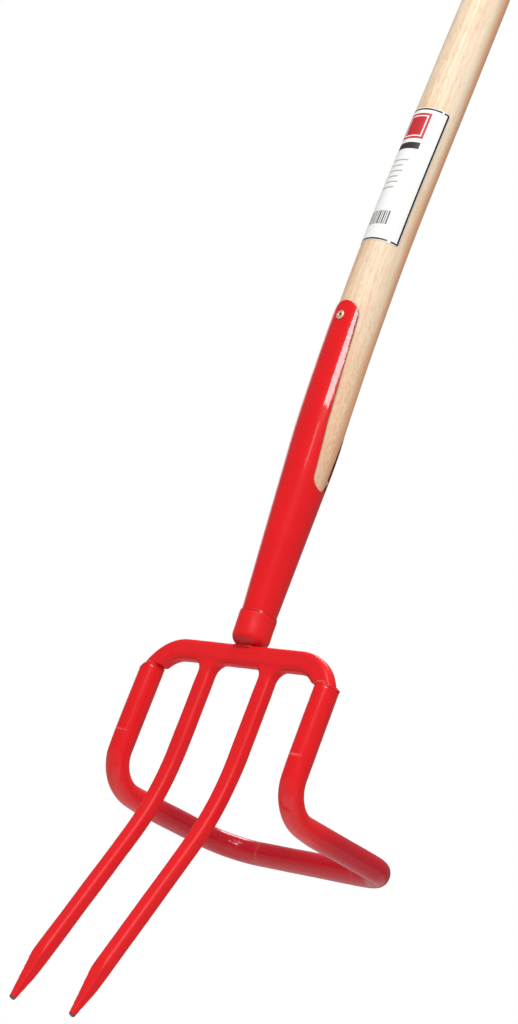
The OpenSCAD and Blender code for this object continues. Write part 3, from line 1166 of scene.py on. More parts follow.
@dataclass
class Socket:
    """The pressed steel sleeve with its front and rear straps.

    A strap's edge stands out from the shaft's middle by its reach, in millimetres,
    first where the opening's round end stops and then at each mark.
    """

    line: ShaftLine
    handle: Handle
    foot: float = 26.3 * MM
    opening: float = 136 * MM
    opening_radius: float = 11.5 * MM
    opening_centre: float = 2.5 * MM
    sheet: float = 1.5 * MM
    seat: float = 0.08 * MM
    strap_end: float = 297 * MM
    tip_share: float = 0.91
    front_half: float = 14.3 * MM
    rear_half: float = 8 * MM
    marks: tuple[float, ...] = (192, 240, 317)
    front_reach: tuple[float, ...] = (9.0, 13.3, 14.8, 15.9)
    rear_reach: tuple[float, ...] = (14.0, 19.7, 20.3, 21.2)
    rolled_edge: float = 0.45 * MM
    # Painted shadow on the wood beside the straps' edges: its offset and width.
    shadow_gap: float = 0.2 * MM
    shadow_width: float = 1.1 * MM
    # Painted shade on the rear strap's edges: its strength, its width, and the height above the opening that
    # stays free of it.
    painted_shade: float = 0.85
    shade_width: float = 1.2 * MM
    unshaded: float = 3 * MM
    dents: Unevenness = Unevenness(0.05 * MM, 30 * MM, seed=23, lowest=-1.0, highest=0.6)
    spacing: float = 4 * MM
    columns: int = 57

    def _outer(self, at: np.ndarray) -> np.ndarray:
        """Outer radius of the sheet at distances above the tread."""
        return self.handle.radius(at) + self.seat + self.sheet

    def _half_angle(self, at: np.ndarray, on_front: bool) -> np.ndarray:
        """Half the angle that a strap covers.

        Args:
            at: Distances above the tread.
            on_front: Whether this is the front strap.

        Returns:
            The half angle at each distance.
        """
        sign = 1.0 if on_front else -1.0
        outer = self._outer(at)
        low = self.opening + self.opening_radius
        marks = [low, *(mark * MM for mark in self.marks)]
        reach = np.array(self.front_reach if on_front else self.rear_reach) * MM
        bent = sign * np.maximum(at - self.line.bend_start, 0) ** 2 / (2 * self.line.bend_radius)
        depth = np.clip(low - at, 0, self.opening_radius)
        round_end = sign * -self.opening_centre + np.sqrt(self.opening_radius**2 - depth**2)
        edge = np.where(at < low, round_end, np.interp(at, marks, reach) + bent)
        edge = np.where(at < self.opening + HAIR, -sign * self.opening_centre, edge)
        half = np.arccos(np.clip(edge / outer, -1, 1))
        width = self.front_half if on_front else self.rear_half
        over = np.clip(at - (self.strap_end - width), 0, width)
        cap = np.arcsin(np.clip(np.sqrt(np.maximum(width**2 - over**2, 0)) / outer, 0, 1))
        return np.where(over > 0, np.minimum(half, cap), half)

    def seam(self, at: np.ndarray, angle: np.ndarray, radius: np.ndarray) -> np.ndarray:
        """Painted shadow that the straps' edges cast on the wood beside them.

        Args:
            at: Distances above the tread.
            angle: Angles from the front, within half a turn either way.
            radius: Radius of the wood.

        Returns:
            A value from 0 to 1 for each place.
        """
        total = np.zeros(len(at))
        for on_front in (True, False):
            turned = np.abs(angle) if on_front else math.pi - np.abs(angle)
            gap = (turned - self._half_angle(at, on_front)) * radius
            near = np.clip(1.3 - np.abs(gap - self.shadow_gap) / self.shadow_width, 0, 1)
            total = np.maximum(total, near * (at > self.opening) * (at < self.strap_end))
        return total

    def _rows(self, width: float) -> np.ndarray:
        """Distances of the rows, closer together where the outline is round.

        Args:
            width: Half the width of the strap's round tip.

        Returns:
            The distances above the tread.
        """
        turn = quarter_turn(18)
        sleeve = np.linspace(self.foot, self.opening, 26)
        fork = self.opening + self.opening_radius * (1 - np.cos(turn))
        strap = np.arange(fork[-1] + self.spacing, self.strap_end - width - self.spacing / 2, self.spacing)
        tip = self.strap_end - width + width * np.sin(self.tip_share * turn)
        return np.concatenate([sleeve, fork[1:], strap, tip])

    def _side(self, on_front: bool) -> tuple[np.ndarray, np.ndarray]:
        """The front or rear half of the sleeve with its strap.

        Args:
            on_front: Whether this is the front one.

        Returns:
            The points row by row, and how much painted shade each has.
        """
        at = self._rows(self.front_half if on_front else self.rear_half)
        half = np.repeat(self._half_angle(at, on_front), self.columns)
        across = np.tile(np.linspace(-1, 1, self.columns), len(at))
        distance = np.repeat(at, self.columns)
        radius = self._outer(distance)
        points = self.line.wrap(distance, across * half + (0.0 if on_front else math.pi), radius)
        inside = (1 - np.abs(across)) * half * radius
        # Painted shade along the rear strap's edges, where shade falls beside the wood.
        dark = np.clip(1.8 - inside / self.shade_width, 0, 1) * (distance > self.opening + self.unshaded)
        return points, dark * (0.0 if on_front else self.painted_shade)

    def build(self, material: Material) -> None:
        """Builds the sleeve and both straps as one pressed piece.

        Args:
            material: The paint.
        """
        front, unshaded = self._side(True)
        rear, shaded = self._side(False)
        faces = grid_faces(len(front) // self.columns, self.columns, False)
        for face in grid_faces(len(rear) // self.columns, self.columns, False):
            faces.append(tuple(len(front) + i for i in face))
        shell = Shell(np.vstack([front, rear]), faces, {"painted_shade": spread(np.concatenate([unshaded, shaded]))})
        piece = shell.build("strapped_socket", material)
        modify(piece, "wall", "SOLIDIFY", thickness=self.sheet, offset=-1.0, use_quality_normals=True)
        modify(
            piece,
            "rolled_edge",
            "BEVEL",
            width=self.rolled_edge,
            segments=3,
            limit_method="ANGLE",
            angle_limit=math.radians(50),
        )
        settle(piece, material)
        self.dents.press_into(piece)
        hand_over(piece, Slot.PAINT, "socket")


@dataclass
class StrapRivet:
    """The tubular rivet's head in front and its burr behind.

    Each profile gives radius and height in millimetres, from the axis out and back.
    """

    line: ShaftLine
    handle: Handle
    at: float = 283 * MM
    seat: float = 1.6 * MM
    hollow: float = 1.4 * MM
    # Painted shade in the head's hollow.
    painted_shade: float = 0.85
    around: int = 40
    head: tuple[tuple[float, float], ...] = (
        (0, 0.16), (1.0, 0.18), (1.25, 0.3), (1.35, 0.5), (1.5, 0.95),
        (1.9, 1.22), (2.5, 1.28), (3.1, 1.12), (3.7, 0.75), (3.95, 0.35),
        (3.9, 0.05), (3.3, -0.15), (1.9, -0.3), (1.8, -4.0), (0, -4.0),
    )
    burr: tuple[tuple[float, float], ...] = (
        (0, 2.1), (0.9, 2.15), (1.5, 2.2), (1.95, 2.0), (2.05, 1.55), (3.6, 1.5),
        (4.2, 1.3), (4.45, 0.9), (4.45, 0.4), (4.2, 0.1), (3.6, 0.0), (0, 0.0),
    )

    def _turned(self, profile: tuple[tuple[float, float], ...], facing: float) -> Shell:
        """Turns a profile about the rivet's axis.

        Args:
            profile: The profile.
            facing: 1 for the front, -1 for the rear.

        Returns:
            The turned shell, with painted shade in the head's hollow.
        """
        centre, front, up = self.line.frames(self.at)
        base = self.handle.radius(self.at) + self.seat
        angles = full_turn(self.around)
        circle = np.outer(np.cos(angles), RIGHT) + np.outer(np.sin(angles), up)
        out = facing * front
        rows = [centre + out * (base + height * MM) + size * MM * circle for size, height in profile]
        hollow = [facing > 0 and size * MM < self.hollow for size, _ in profile]
        # Painted shade: the head's hollow is darkened where shade falls in it.
        painted_shade = spread(np.repeat(np.array(hollow) * self.painted_shade, self.around))
        return Shell(np.vstack(rows), grid_faces(len(profile), self.around, True), {"painted_shade": painted_shade})

    def build(self, material: Material) -> None:
        """Builds both ends.

        Args:
            material: The bare steel.
        """
        head = self._turned(self.head, 1.0).build("turned_rivet", material)
        hand_over(head, Slot.RIVET, "strap_rivet")
        burr = self._turned(self.burr, -1.0).build("riveted_burr", material)
        hand_over(burr, Slot.RIVET, "rivet_burr")


# ---- welds and neck ----


class BeadTree(NodeBench):
    """Geometry Nodes tree that lays overlapping ripples of weld along a path."""

    PITCH_SHARE = 0.95
    UNEVENNESS = 0.16
    CELL = 0.3 * MM

    def __init__(self) -> None:
        """Builds the tree with its named inputs."""
        super().__init__(bpy.data.node_groups.new("weld_bead", "GeometryNodeTree"))
        face = self.tree.interface
        face.new_socket("Path", in_out="INPUT", socket_type="NodeSocketGeometry")
        for key, value in (("Bead Radius", 1.5 * MM), ("Pitch", 1.4 * MM), ("Unevenness", 0.25)):
            face.new_socket(key, in_out="INPUT", socket_type="NodeSocketFloat").default_value = value
        face.new_socket("Seed", in_out="INPUT", socket_type="NodeSocketInt")
        face.new_socket("Paint", in_out="INPUT", socket_type="NodeSocketMaterial")
        face.new_socket("Bead", in_out="OUTPUT", socket_type="NodeSocketGeometry")
        self._wire()

    def _made(self, kind: str, inputs: dict, **settings: object) -> Link:
        """The first output of a new Geometry Nodes node."""
        return self.node("GeometryNode" + kind, inputs, **settings).outputs[0]

    def _vector(self, operation: str, inputs: dict) -> Link:
        """One Vector Math node's result."""
        return self.node("ShaderNodeVectorMath", inputs, operation=operation).outputs[0]

    def _wire(self) -> None:
        """Joins the nodes: a slim core along the path, and a blob of random shape at each step."""
        entry = self.tree.nodes.new("NodeGroupInput").outputs
        radius = entry["Bead Radius"]
        curve = self._made("MeshToCurve", {"Mesh": entry["Path"]})
        spaced = self._made("ResampleCurve", {"Curve": curve, "Length": entry["Pitch"]}, mode="LENGTH")
        slim = self.node("ShaderNodeMath", {0: radius, 1: 0.85}, operation="MULTIPLY")
        profile = self._made("CurvePrimitiveCircle", {"Radius": 1.0, "Resolution": 14})
        core_inputs = {"Curve": spaced, "Profile Curve": profile, "Scale": slim.outputs[0]}
        core = self._made("CurveToMesh", core_inputs)
        jitter = self.node(
            "FunctionNodeRandomValue",
            {0: (-1.0, -1.0, -1.0), 1: (1.0, 1.0, 1.0), "Seed": entry["Seed"]},
            data_type="FLOAT_VECTOR",
        )
        share = self._vector("SCALE", {0: jitter.outputs[0], "Scale": entry["Unevenness"]})
        grown = self._vector("ADD", {0: share, 1: (1.0, 1.0, 1.0)})
        sized = self._vector("SCALE", {0: grown, "Scale": radius})
        blob = self._made("MeshIcoSphere", {"Radius": 1.0, "Subdivisions": 3})
        placed = self._made("InstanceOnPoints", {"Points": spaced, "Instance": blob, "Scale": sized})
        both = self.node("GeometryNodeJoinGeometry", {0: placed})
        self.feed(both.inputs[0], core)
        real = self._made("RealizeInstances", {"Geometry": both.outputs[0]})
        done = self._made("SetMaterial", {"Geometry": real, "Material": entry["Paint"]})
        self.node("NodeGroupOutput", {0: done})

    def lay(
        self, name: str, paths: list[np.ndarray], closed: bool, radius: float, seed: int, paint: Material
    ) -> Piece:
        """Lays a bead along each path and fuses its ripples.

        Args:
            name: Name of the piece.
            paths: Points of each path.
            closed: Whether the paths are rings.
            radius: Radius of the bead.
            seed: Seed of its unevenness.
            paint: Its paint.

        Returns:
            The bead as a plain mesh.
        """
        points, edges = [], []
        for path in paths:
            start, count = len(points), len(path)
            points += path.tolist()
            edges += [(start + i, start + (i + 1) % count) for i in range(count if closed else count - 1)]
        mesh = bpy.data.meshes.new(name)
        mesh.from_pydata(points, edges, [])
        piece = add_object(name, mesh)
        modifier = modify(piece, "bead", "NODES", node_group=self.tree)
        values = {"Bead Radius": radius, "Pitch": self.PITCH_SHARE * radius}
        values.update({"Unevenness": self.UNEVENNESS, "Seed": seed, "Paint": paint})
        for item in self.tree.interface.items_tree:
            if item.in_out == "INPUT" and item.name in values:
                modifier[item.identifier] = values[item.name]
        settle(piece, paint)
        modify(piece, "fuse", "REMESH", mode="VOXEL", voxel_size=self.CELL)
        modify(piece, "calm", "SMOOTH", factor=0.5, iterations=3)
        settle(piece, paint)
        return piece


@dataclass
class Neck:
    """The closed cup under the socket and the welds that hold it.

    The highlighted spatter's place and the beads' reach and droop are in millimetres.
    """

    line: ShaftLine
    beads: BeadTree
    radius: float = 15.4 * MM
    top: float = 26 * MM
    drop: float = 1.4 * MM
    edge: float = 9.5 * MM
    wall_foot: float = 10 * MM
    wall_stop: float = 2 * MM
    shoulder: float = 1.6 * MM
    shoulder_width: float = 1.2 * MM
    # Painted shade at the cup's foot, and how high it reaches.
    painted_shade: float = 0.5
    shade_height: float = 6 * MM
    dents: Unevenness = Unevenness(0.16 * MM, 17 * MM, seed=31, lowest=-1.4, highest=0.4)
    around: int = 80
    ring_radius: float = 14.45 * MM
    ring_lift: float = 0.25 * MM
    ring_bead: float = 0.85 * MM
    # A raised spatter spot that is painted pale as a highlight.
    spatter_highlight: Triple = (10.7, -11.05, 43.4)
    bead: float = 1.7 * MM
    bead_reach: Triple = (9.025, 6.3, 15.9)
    bead_droop: tuple[float, float] = (1.12, 0.96)

    def _cup(self) -> Shell:
        """The cup, round below and flat on top.

        Returns:
            The cup's shell, with painted shade at its foot.
        """
        turn = quarter_turn(12)
        wall = np.linspace(self.wall_foot, self.top - self.wall_stop, 10)
        foot_at = self.edge * (1 - np.cos(turn)) - self.drop
        foot_size = self.radius - self.edge + self.edge * np.sin(turn)
        shoulder_at = self.top - self.shoulder + self.shoulder * np.sin(turn)
        shoulder_size = self.radius - self.shoulder_width * (1 - np.cos(turn))
        at = np.concatenate([[-self.drop], foot_at, wall, shoulder_at, [self.top]])
        size = np.concatenate([[0.0], foot_size, np.full(10, self.radius), shoulder_size, [0.0]])
        distance, angle, radius = ring_grid(at, size, self.around)
        # Painted shade: the cup darkens towards its foot, which faces down into shade.
        painted_shade = spread(self.painted_shade * np.clip(1 - distance / self.shade_height, 0, 1))
        points = self.line.wrap(distance, angle, radius)
        return Shell(points, grid_faces(len(at), self.around, True), {"painted_shade": painted_shade})

    def _bead_path(self, side: int) -> np.ndarray:
        """Path of the bead in front of the cup or behind it, on the foot bar.

        Args:
            side: -1 for the front, 1 for the rear.

        Returns:
            The path's points, one row each.
        """
        share = np.linspace(-1, 1, 15)
        (across, out, level), (inward, down) = self.bead_reach, self.bead_droop
        y, z = side * (out - inward * share**2), level - down * share**2
        return np.stack([across * share, y, z], axis=-1) * MM

    def build(self, paint: Material, weld: Material) -> None:
        """Builds the cup, its ring weld and the two beads on the foot bar.

        Args:
            paint: The gloss paint.
            weld: The paint over the welds.
        """
        cup = self._cup().build("forged_cup", paint)
        self.dents.press_into(cup)
        hand_over(cup, Slot.PAINT, "neck_cup")
        level, radius = np.array([self.top + self.ring_lift]), np.array([self.ring_radius])
        ring = self.line.wrap(*ring_grid(level, radius, 64))
        bead = self.beads.lay("cup_ring_bead", [ring], True, self.ring_bead, 5, weld)
        # Raises a spatter spot on the ring bead and paints it pale as a highlight.
        raise_highlight_spots(bead, [(self.spatter_highlight, 1.5)], 0.3 * MM)
        hand_over(bead, Slot.WELD, "cup_ring_weld")
        paths = [self._bead_path(side) for side in (-1, 1)]
        hand_over(self.beads.lay("neck_bead", paths, False, self.bead, 8, weld), Slot.WELD, "neck_weld")


# ---- fork head ----


@dataclass
class ForkHead:
    """Foot bar and tines, forged in one, from the CAD node's own solid.

    Each set of swells gives its depth, wavelength and seed. The taper gives the
    share of the solid's width that a tine keeps at levels in millimetres.
    """

    cell: float = 0.85 * MM
    tine_x: float = 32.75 * MM
    swells: tuple[tuple[float, float, int], ...] = ((0.07 * MM, 34 * MM, 41), (0.02 * MM, 11 * MM, 42))
    skin_limits: tuple[float, float] = (-0.3 * MM, 0.12 * MM)
    tine_top: float = -11 * MM
    inner_half: float = 60 * MM
    taper_levels: tuple[float, ...] = (-160, -60, -20, -11)
    taper_shares: tuple[float, ...] = (0.94, 1.03, 1.04, 1.0)

    def build(self, material: Material) -> None:
        """Softens the solid's corners and gives it a forged skin.

        Args:
            material: The paint.
        """
        mesh = bpy.data.objects["fork_head"].data.copy()
        mesh.name = "forged_head"
        piece = add_object("forged_head", mesh)
        merge(mesh, 0.005 * MM, outwards=False)
        exact = add_object("exact_head", mesh.copy())
        modify(piece, "fuse", "REMESH", mode="VOXEL", voxel_size=self.cell)
        modify(piece, "wrap", "SHRINKWRAP", wrap_method="NEAREST_SURFACEPOINT", target=exact)
        modify(piece, "calm", "SMOOTH", factor=0.5, iterations=5)
        settle(piece, material)
        bpy.data.meshes.remove(exact.data)
        self._taper(piece.data)
        points = read_rows(piece.data.vertices, "co")
        skin = sum(depth * ripple(points, length, seed) for depth, length, seed in self.swells)
        displace(piece, np.clip(skin, *self.skin_limits))
        hand_over(piece, Slot.PAINT, "fork_head")

    def _taper(self, mesh: bpy.types.Mesh) -> None:
        """Draws the inner tines out, wider at the root and narrower below.

        Args:
            mesh: The head's mesh.
        """
        points = read_rows(mesh.vertices, "co")
        x, z = points[:, 0], points[:, 2]
        drawn = (z < self.tine_top) & (np.abs(x) < self.inner_half)
        centre = np.sign(x) * self.tine_x
        share = np.interp(z, np.array(self.taper_levels) * MM, self.taper_shares)
        points[:, 0] = np.where(drawn, centre + (x - centre) * share, x)
        move_vertices(mesh, points)


# ---- heel loop ----


@dataclass(frozen=True)
class Bend:
    """How the bending tool left one corner of the tube, in millimetres.

    The outer wall is pressed in over the bend and over a lead at each end of it,
    and the die's edge leaves a scar at one of these ends.
    """

    radius: float
    pressed: float
    lead: float
    scar: float
    scar_width: float


@dataclass
class TubePath:
    """A tube's centre line, with what the bending tool did to each place."""

    points: list[np.ndarray] = field(default_factory=list)
    pressed: list[np.ndarray] = field(default_factory=list)
    scars: list[float] = field(default_factory=list)

    def add(self, point: np.ndarray, pressed: np.ndarray, scar: float) -> None:
        """Adds one place.

        Args:
            point: The place.
            pressed: How far and which way the wall is pressed in.
            scar: How strong the die's scar is.
        """
        self.points.append(point)
        self.pressed.append(pressed)
        self.scars.append(scar)

    def straight(self, start: np.ndarray, end: np.ndarray, step: float) -> None:
        """Adds a straight length, without its last point.

        Args:
            start: Its first point.
            end: The point that it ends before.
            step: Distance between points.
        """
        count = max(int(np.linalg.norm(end - start) / step), 1)
        for i in range(count):
            self.add(start + (end - start) * (i / count), np.zeros(3), 0.0)


@dataclass
class HeelLoop:
    """The bent tube behind the tines and the welds on its two ends.

    Places and weld rings are in millimetres. A ring of weld gives how far inwards
    of the arm it lies, its radius, its level and its share of the slope.
    """

    beads: BeadTree
    radius: float = 9.93 * MM
    corners: tuple[Triple, ...] = (
        (95.0, 0.0, -7.6),
        (95.0, 0.0, -112.0),
        (90.5, 153.5, -105.5),
        (-90.5, 153.5, -105.5),
        (-95.0, 0.0, -112.0),
        (-95.0, 0.0, -7.6),
    )
    arm_bend: Bend = Bend(radius=30.0, pressed=3.1, lead=14.0, scar=0.7, scar_width=0.9)
    rear_bend: Bend = Bend(radius=35.0, pressed=0.7, lead=5.0, scar=0.25, scar_width=1.6)
    press_power: float = 2.2
    flank_swell: float = 10.0
    widest: float = 1.02
    step: float = 1 * MM
    around: int = 64
    dents: Unevenness = Unevenness(0.05 * MM, 30 * MM, seed=51, lowest=-1.2, highest=0.8)
    end_rounding: float = 3 * MM
    end_narrowing: float = 0.13
    scar_ridge: float = 0.008
    # Painted highlight along the die's scars, on the side facing this way.
    scar_highlight: float = 0.55
    highlight_side: Triple = (-0.5, -0.87, 0.0)
    # A raised paint nib that is painted pale as a highlight.
    nib_highlight: Triple = (-75.6, 135.0, -104.0)
    nib_highlight_size: float = 0.75
    slopes: tuple[float, float] = (1.5 * MM, 6.5 * MM)
    slope_from: float = 90 * MM
    slope_width: float = 15 * MM
    bead: float = 1.15 * MM
    weld_rings: tuple[tuple[float, float, float, float], ...] = (
        (0.0, 8.9, -8.6, 1.0),
        (0.1, 8.6, -8.2, 0.9),
        (0.4, 7.9, -7.2, 0.75),
        (1.2, 6.2, -6.1, 0.4),
    )
    run_over: Triple = (8.9, 2.5, -9.6)
    # Painted highlight: start of the pale line of spots along each weld's upper front edge.
    highlight_from: Triple = (-8.5, -8.6, -7.6)

    def _slope(self, ring: np.ndarray, from_end: float, fall: float) -> np.ndarray:
        """Lets the outer side of a tube's end fall away.

        Args:
            ring: One section of the tube.
            from_end: Its distance from the tube's end.
            fall: How far the outermost point falls at the very end.

        Returns:
            The section with its outer side lowered.
        """
        share = max(1 - from_end / (3 * fall), 0.0)
        outward = np.clip((np.abs(ring[:, 0]) - self.slope_from) / self.slope_width, 0, 1)
        return ring - np.outer(fall * share * outward, (0.0, 0.0, 1.0))

    def _path(self) -> TubePath:
        """Follows the tube from one arm's top to the other's.

        Returns:
            The centre line.
        """
        corner = np.array(self.corners) * MM
        path, start = TubePath(), corner[0]
        bends = (self.arm_bend, self.rear_bend, self.rear_bend, self.arm_bend)
        for i, bend in enumerate(bends, start=1):
            start = self._bend(path, bend, start, corner[i - 1 : i + 2], scarred_first=i % 2 == 1)
        path.straight(start, corner[-1], self.step)
        path.add(corner[-1], np.zeros(3), 0.0)
        return path

    def _bend(
        self, path: TubePath, bend: Bend, start: np.ndarray, corner: np.ndarray, scarred_first: bool
    ) -> np.ndarray:
        """Follows the tube straight up to a corner and round it.

        Args:
            path: The centre line so far.
            bend: How the corner is bent.
            start: Where the straight length starts.
            corner: The corners before, at and after the bend.
            scarred_first: Whether the die's scar is at the bend's first end.

        Returns:
            Where the next straight length starts.
        """
        radius, lead = bend.radius * MM, bend.lead * MM
        into = (corner[1] - corner[0]) / np.linalg.norm(corner[1] - corner[0])
        away = (corner[2] - corner[1]) / np.linalg.norm(corner[2] - corner[1])
        turn = math.acos(float(np.clip(into @ away, -1, 1)))
        reach = radius * math.tan(turn / 2)
        inward = away - into * (into @ away)
        inward /= np.linalg.norm(inward)
        first, last = corner[1] - into * reach, corner[1] + away * reach
        centre = first + inward * radius
        whole = radius * turn + 2 * lead
        path.straight(start, first - into * lead, self.step)
        for at in np.arange(0, whole, self.step):
            psi = float(np.clip(at - lead, 0, radius * turn)) / radius
            out = -inward * math.cos(psi) + into * math.sin(psi)
            past = min(at - lead, 0) * into + max(at - lead - radius * turn, 0) * away
            push = bend.pressed * MM * math.sin(math.pi * at / whole) ** 1.5
            from_scar = at if scarred_first else whole - at
            scar = bend.scar * math.exp(-((from_scar / (bend.scar_width * MM)) ** 2))
            path.add(centre + out * radius + past, out * push, scar)
        return last + away * lead

    def _press(self, ring: np.ndarray, push: np.ndarray) -> np.ndarray:
        """Presses one side of a section in and lets its flanks swell.

        Args:
            ring: The section's points about its middle.
            push: Direction and depth of the pressed wall.

        Returns:
            The pressed section.
        """
        depth = float(np.linalg.norm(push))
        if depth < HAIR:
            return ring
        out = push / depth
        height = ring @ out
        share = np.clip(height / self.radius, 0, 1) ** self.press_power
        swell = 1 + self.flank_swell * depth * (1 - np.abs(height) / self.radius)
        side = ring - np.outer(height, out)
        return side * np.minimum(swell, self.widest)[:, None] + np.outer(height - depth * share, out)

    def _tube(self) -> Shell:
        """Sweeps the tube's section along its path.

        Returns:
            The tube's shell, with painted highlights along the die's scars.
        """
        path = self._path()
        points = np.array(path.points)
        ahead = np.gradient(points, axis=0)
        ahead /= np.linalg.norm(ahead, axis=1)[:, None]
        angles = full_turn(self.around)
        rows, scar_highlights, normal = [], [], RIGHT
        for centre, tangent, push, scar in zip(points, ahead, path.pressed, path.scars):
            normal = normal - tangent * (normal @ tangent)
            normal /= np.linalg.norm(normal)
            across = np.cross(tangent, normal)
            ring = self.radius * (np.outer(np.cos(angles), normal) + np.outer(np.sin(angles), across))
            from_end = min(len(rows), len(points) - 1 - len(rows)) * self.step
            rounded = 1 - self.end_narrowing * max(1 - from_end / self.end_rounding, 0) ** 2
            section = centre + self._press(ring, push) * (1 + self.scar_ridge * scar) * rounded
            rows.append(self._slope(section, from_end, self.slopes[0 if centre[0] > 0 else 1]))
            # Painted highlight: pale paint along each die scar, on the tube's front-left side.
            facing = ring @ np.array(self.highlight_side) / self.radius
            scar_highlights.append(self.scar_highlight * scar * np.clip(2 * facing - 0.6, 0, 1))
        first, last = (np.tile(points[i], (self.around, 1)) for i in (0, -1))
        blank = np.zeros(self.around)
        painted_light_and_shade = spread(np.concatenate([blank, *scar_highlights, blank]))
        faces = grid_faces(len(rows) + 2, self.around, True)
        return Shell(np.vstack([first, *rows, last]), faces, {"painted_light_and_shade": painted_light_and_shade})

    def _weld(self, name: str, side: int, seed: int, weld: Material) -> None:
        """Lays the bead that joins one arm to its shoulder.

        Args:
            name: Name of the CAD node and the piece.
            side: 1 for the right arm, -1 for the left.
            seed: Seed of the bead's unevenness.
            weld: Its paint.
        """
        arm = self.corners[0][0]
        fall = self.slopes[0 if side > 0 else 1]
        paths = []
        for inwards, size, level, share in self.weld_rings:
            ring = level_ring((side * (arm - inwards), 0.0, level), size, size, 48)
            paths.append(self._slope(ring, 0.0, share * fall))
        if side > 0:
            out, behind, level = self.run_over
            paths.append(level_ring((arm + out, behind, level), 0.5, 1.2, 12))
        bead = self.beads.lay(name + "_bead", paths, True, self.bead, seed, weld)
        # Painted highlight: a pale line of spots along the bead's upper front edge.
        left, front, level = self.highlight_from
        highlights = []
        for k in range(6):
            spot = (side * arm + left + 2 * k, front + 0.3 * abs(k - 2), level + 0.3 * k)
            highlights.append((spot, 0.9))
        raise_highlight_spots(bead, highlights, 0.0)
        hand_over(bead, Slot.WELD, name)

    def build(self, paint: Material, weld: Material) -> None:
        """Builds the tube and the two welds that close its ends.

        Args:
            paint: The gloss paint.
            weld: The paint over the welds.
        """
        tube = self._tube().build("heel_tube", paint)
        self.dents.press_into(tube)
        # Raises a paint nib on the rear bar and paints it pale as a highlight.
        raise_highlight_spots(tube, [(self.nib_highlight, self.nib_highlight_size)], 0.3 * MM)
        hand_over(tube, Slot.PAINT, "heel_loop")
        for name, side, seed in (("loop_weld_right", 1, 61), ("loop_weld_left", -1, 67)):
            self._weld(name, side, seed, weld)


# ---- studio ----


@dataclass(frozen=True)
class Panel:
    """One soft area lamp that faces its aim.

    Azimuth runs round the tool in degrees, 0 in front and 90 on the right.
    Elevation is in degrees, lengths are in metres and power in watts.
    """

    name: str
    azimuth: float
    elevation: float
    distance: float
    size: tuple[float, float]
    power: float
    aim: Triple = (0.0, 0.0, 0.2)

    def place(self) -> None:
        """Adds the lamp to the scene."""
        lamp = bpy.data.lights.new(self.name, "AREA")
        lamp.shape, lamp.energy = "RECTANGLE", self.power
        lamp.size, lamp.size_y = self.size
        a, e = math.radians(self.azimuth), math.radians(self.elevation)
        way = Vector((math.sin(a) * math.cos(e), -math.cos(a) * math.cos(e), math.sin(e)))
        holder = add_object(self.name, lamp)
        holder.location = Vector(self.aim) + way * self.distance
        holder.rotation_euler = way.to_track_quat("Z", "Y").to_euler()


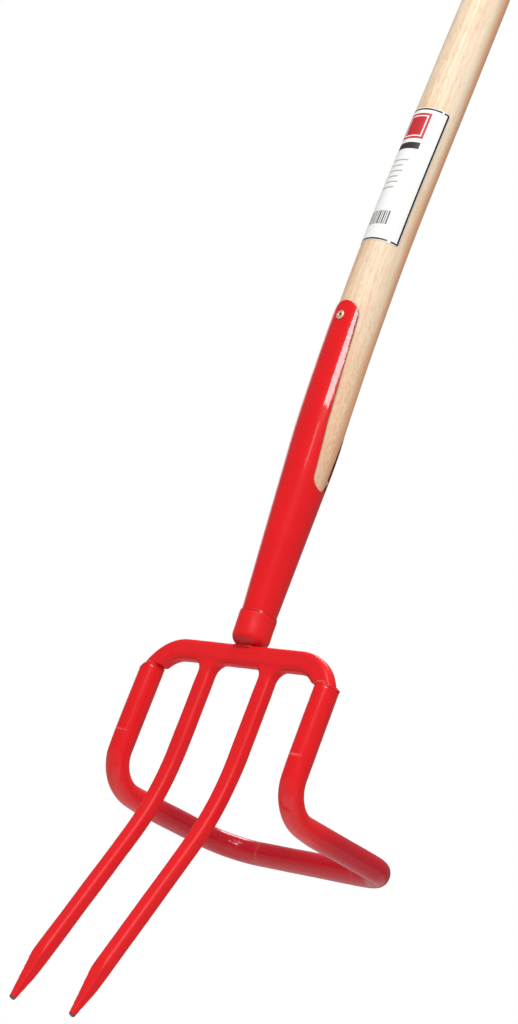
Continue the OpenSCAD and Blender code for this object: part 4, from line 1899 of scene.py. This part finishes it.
@dataclass
class Studio:
    """Floor, light and camera."""

    floor_height: float = -1.0
    floor_half: float = 1.1
    floor_rows: int = 13
    mirrored_low: float = 0.55
    mirrored_high: float = 0.14
    shed_low: float = 0.08
    shed_high: float = 0.58
    shed_right: float = 0.2
    panels: tuple[Panel, ...] = (
        Panel("key_panel", 18, 46, 2.4, (1.2, 1.2), 20),
        Panel("strap_panel", 32, 20, 2.2, (0.9, 0.42), 20, aim=(0.0, -0.02, 0.28)),
        Panel("line_strip", 27, 10.5, 2.2, (0.3, 0.13), 0.3, aim=(0.0, -0.02, 0.2)),
        Panel("left_panel", -112, 15, 2.6, (1.4, 1.2), 5),
        Panel("back_panel", 225, 55, 2.6, (1.2, 1.2), 28),
    )
    lens: float = 77.34375
    camera_place: Triple = (1.1953, -1.1681, -0.4329)
    camera_azimuth: float = 46.7103
    camera_elevation: float = -18.4502
    camera_roll: float = 21.341

    def _world(self) -> None:
        """White behind the tool, softer grey for its light and reflections."""
        world = bpy.data.worlds.new("studio_world")
        world.use_nodes = True
        shader = ShaderTree(world.node_tree)
        path = shader.add("LightPath").outputs
        seen = shader.math("MAXIMUM", path["Is Camera Ray"], path["Is Transmission Ray"])
        across, depth, height = shader.axes(shader.add("TexCoord").outputs["Generated"])
        mirrored = shader.band(height, -0.25, 0.05, self.mirrored_low, self.mirrored_high)
        aside = shader.math("MAXIMUM", shader.math("MULTIPLY_ADD", depth, 0.4, across), 0.0)
        shed = shader.band(height, -0.5, 0.1, self.shed_low, self.shed_high)
        shed = shader.math("MULTIPLY_ADD", aside, self.shed_right, shed)
        lit = shader.add("Mix", {0: path["Is Glossy Ray"], 2: shed, 3: mirrored}).outputs[0]
        strength = shader.add("Mix", {0: seen, 2: lit, 3: 1.0}).outputs[0]
        back = shader.add("Background", {"Color": (1.0, 1.0, 1.0, 1.0), "Strength": strength})
        shader.add("OutputWorld", {"Surface": back.outputs[0]})
        bpy.context.scene.world = world

    def _camera(self) -> None:
        """Sets the camera low on the tool's front right, rolled."""
        data = bpy.data.cameras.new("camera")
        data.lens, data.sensor_width, data.clip_start, data.clip_end = self.lens, 36.0, 0.05, 50.0
        camera = add_object("camera", data)
        tilt = 90 - self.camera_elevation
        turns = ((self.camera_azimuth, "Z"), (tilt, "X"), (self.camera_roll, "Z"))
        place = Matrix.Translation(self.camera_place)
        for degrees, axis in turns:
            place = place @ Matrix.Rotation(math.radians(degrees), 4, axis)
        camera.matrix_world = place
        bpy.context.scene.camera = camera

    def build(self, floor_finish: Material) -> None:
        """Sets the stage.

        Args:
            floor_finish: The floor's finish.
        """
        step = np.linspace(-self.floor_half, self.floor_half, self.floor_rows)
        x, y = np.meshgrid(step, step)
        points = np.stack([x.ravel(), y.ravel(), np.full(x.size, self.floor_height)], axis=-1)
        faces = grid_faces(self.floor_rows, self.floor_rows, False)
        floor = Shell(points, faces).build("studio_floor", floor_finish)
        self._world()
        for panel in self.panels:
            panel.place()
        self._camera()
        bpy.context.scene.view_settings.view_transform = "Standard"


def main() -> None:
    """Builds the whole tool around its frame."""
    logging.basicConfig(level=logging.INFO, format="%(name)s: %(message)s")
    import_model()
    shared = SharedEffects()
    red = {coat: coat.value.make(shared) for coat in RedCoat}
    line, beads = ShaftLine(), BeadTree()
    handle = Handle(line)
    socket = Socket(line, handle)
    handle.build(AshWood().make(shared), socket)
    label = Label(line, handle)
    label.build(PrintedLabel(length=label.length / MM).make(shared))
    socket.build(red[RedCoat.SOCKET])
    StrapRivet(line, handle).build(RivetSteel().make(shared))
    Neck(line, beads).build(red[RedCoat.HEAD], red[RedCoat.WELD])
    ForkHead().build(red[RedCoat.HEAD])
    HeelLoop(beads).build(red[RedCoat.HEEL], red[RedCoat.WELD])
    Studio().build(StudioPlaster().make(shared))


if __name__ == "__main__":
    main()
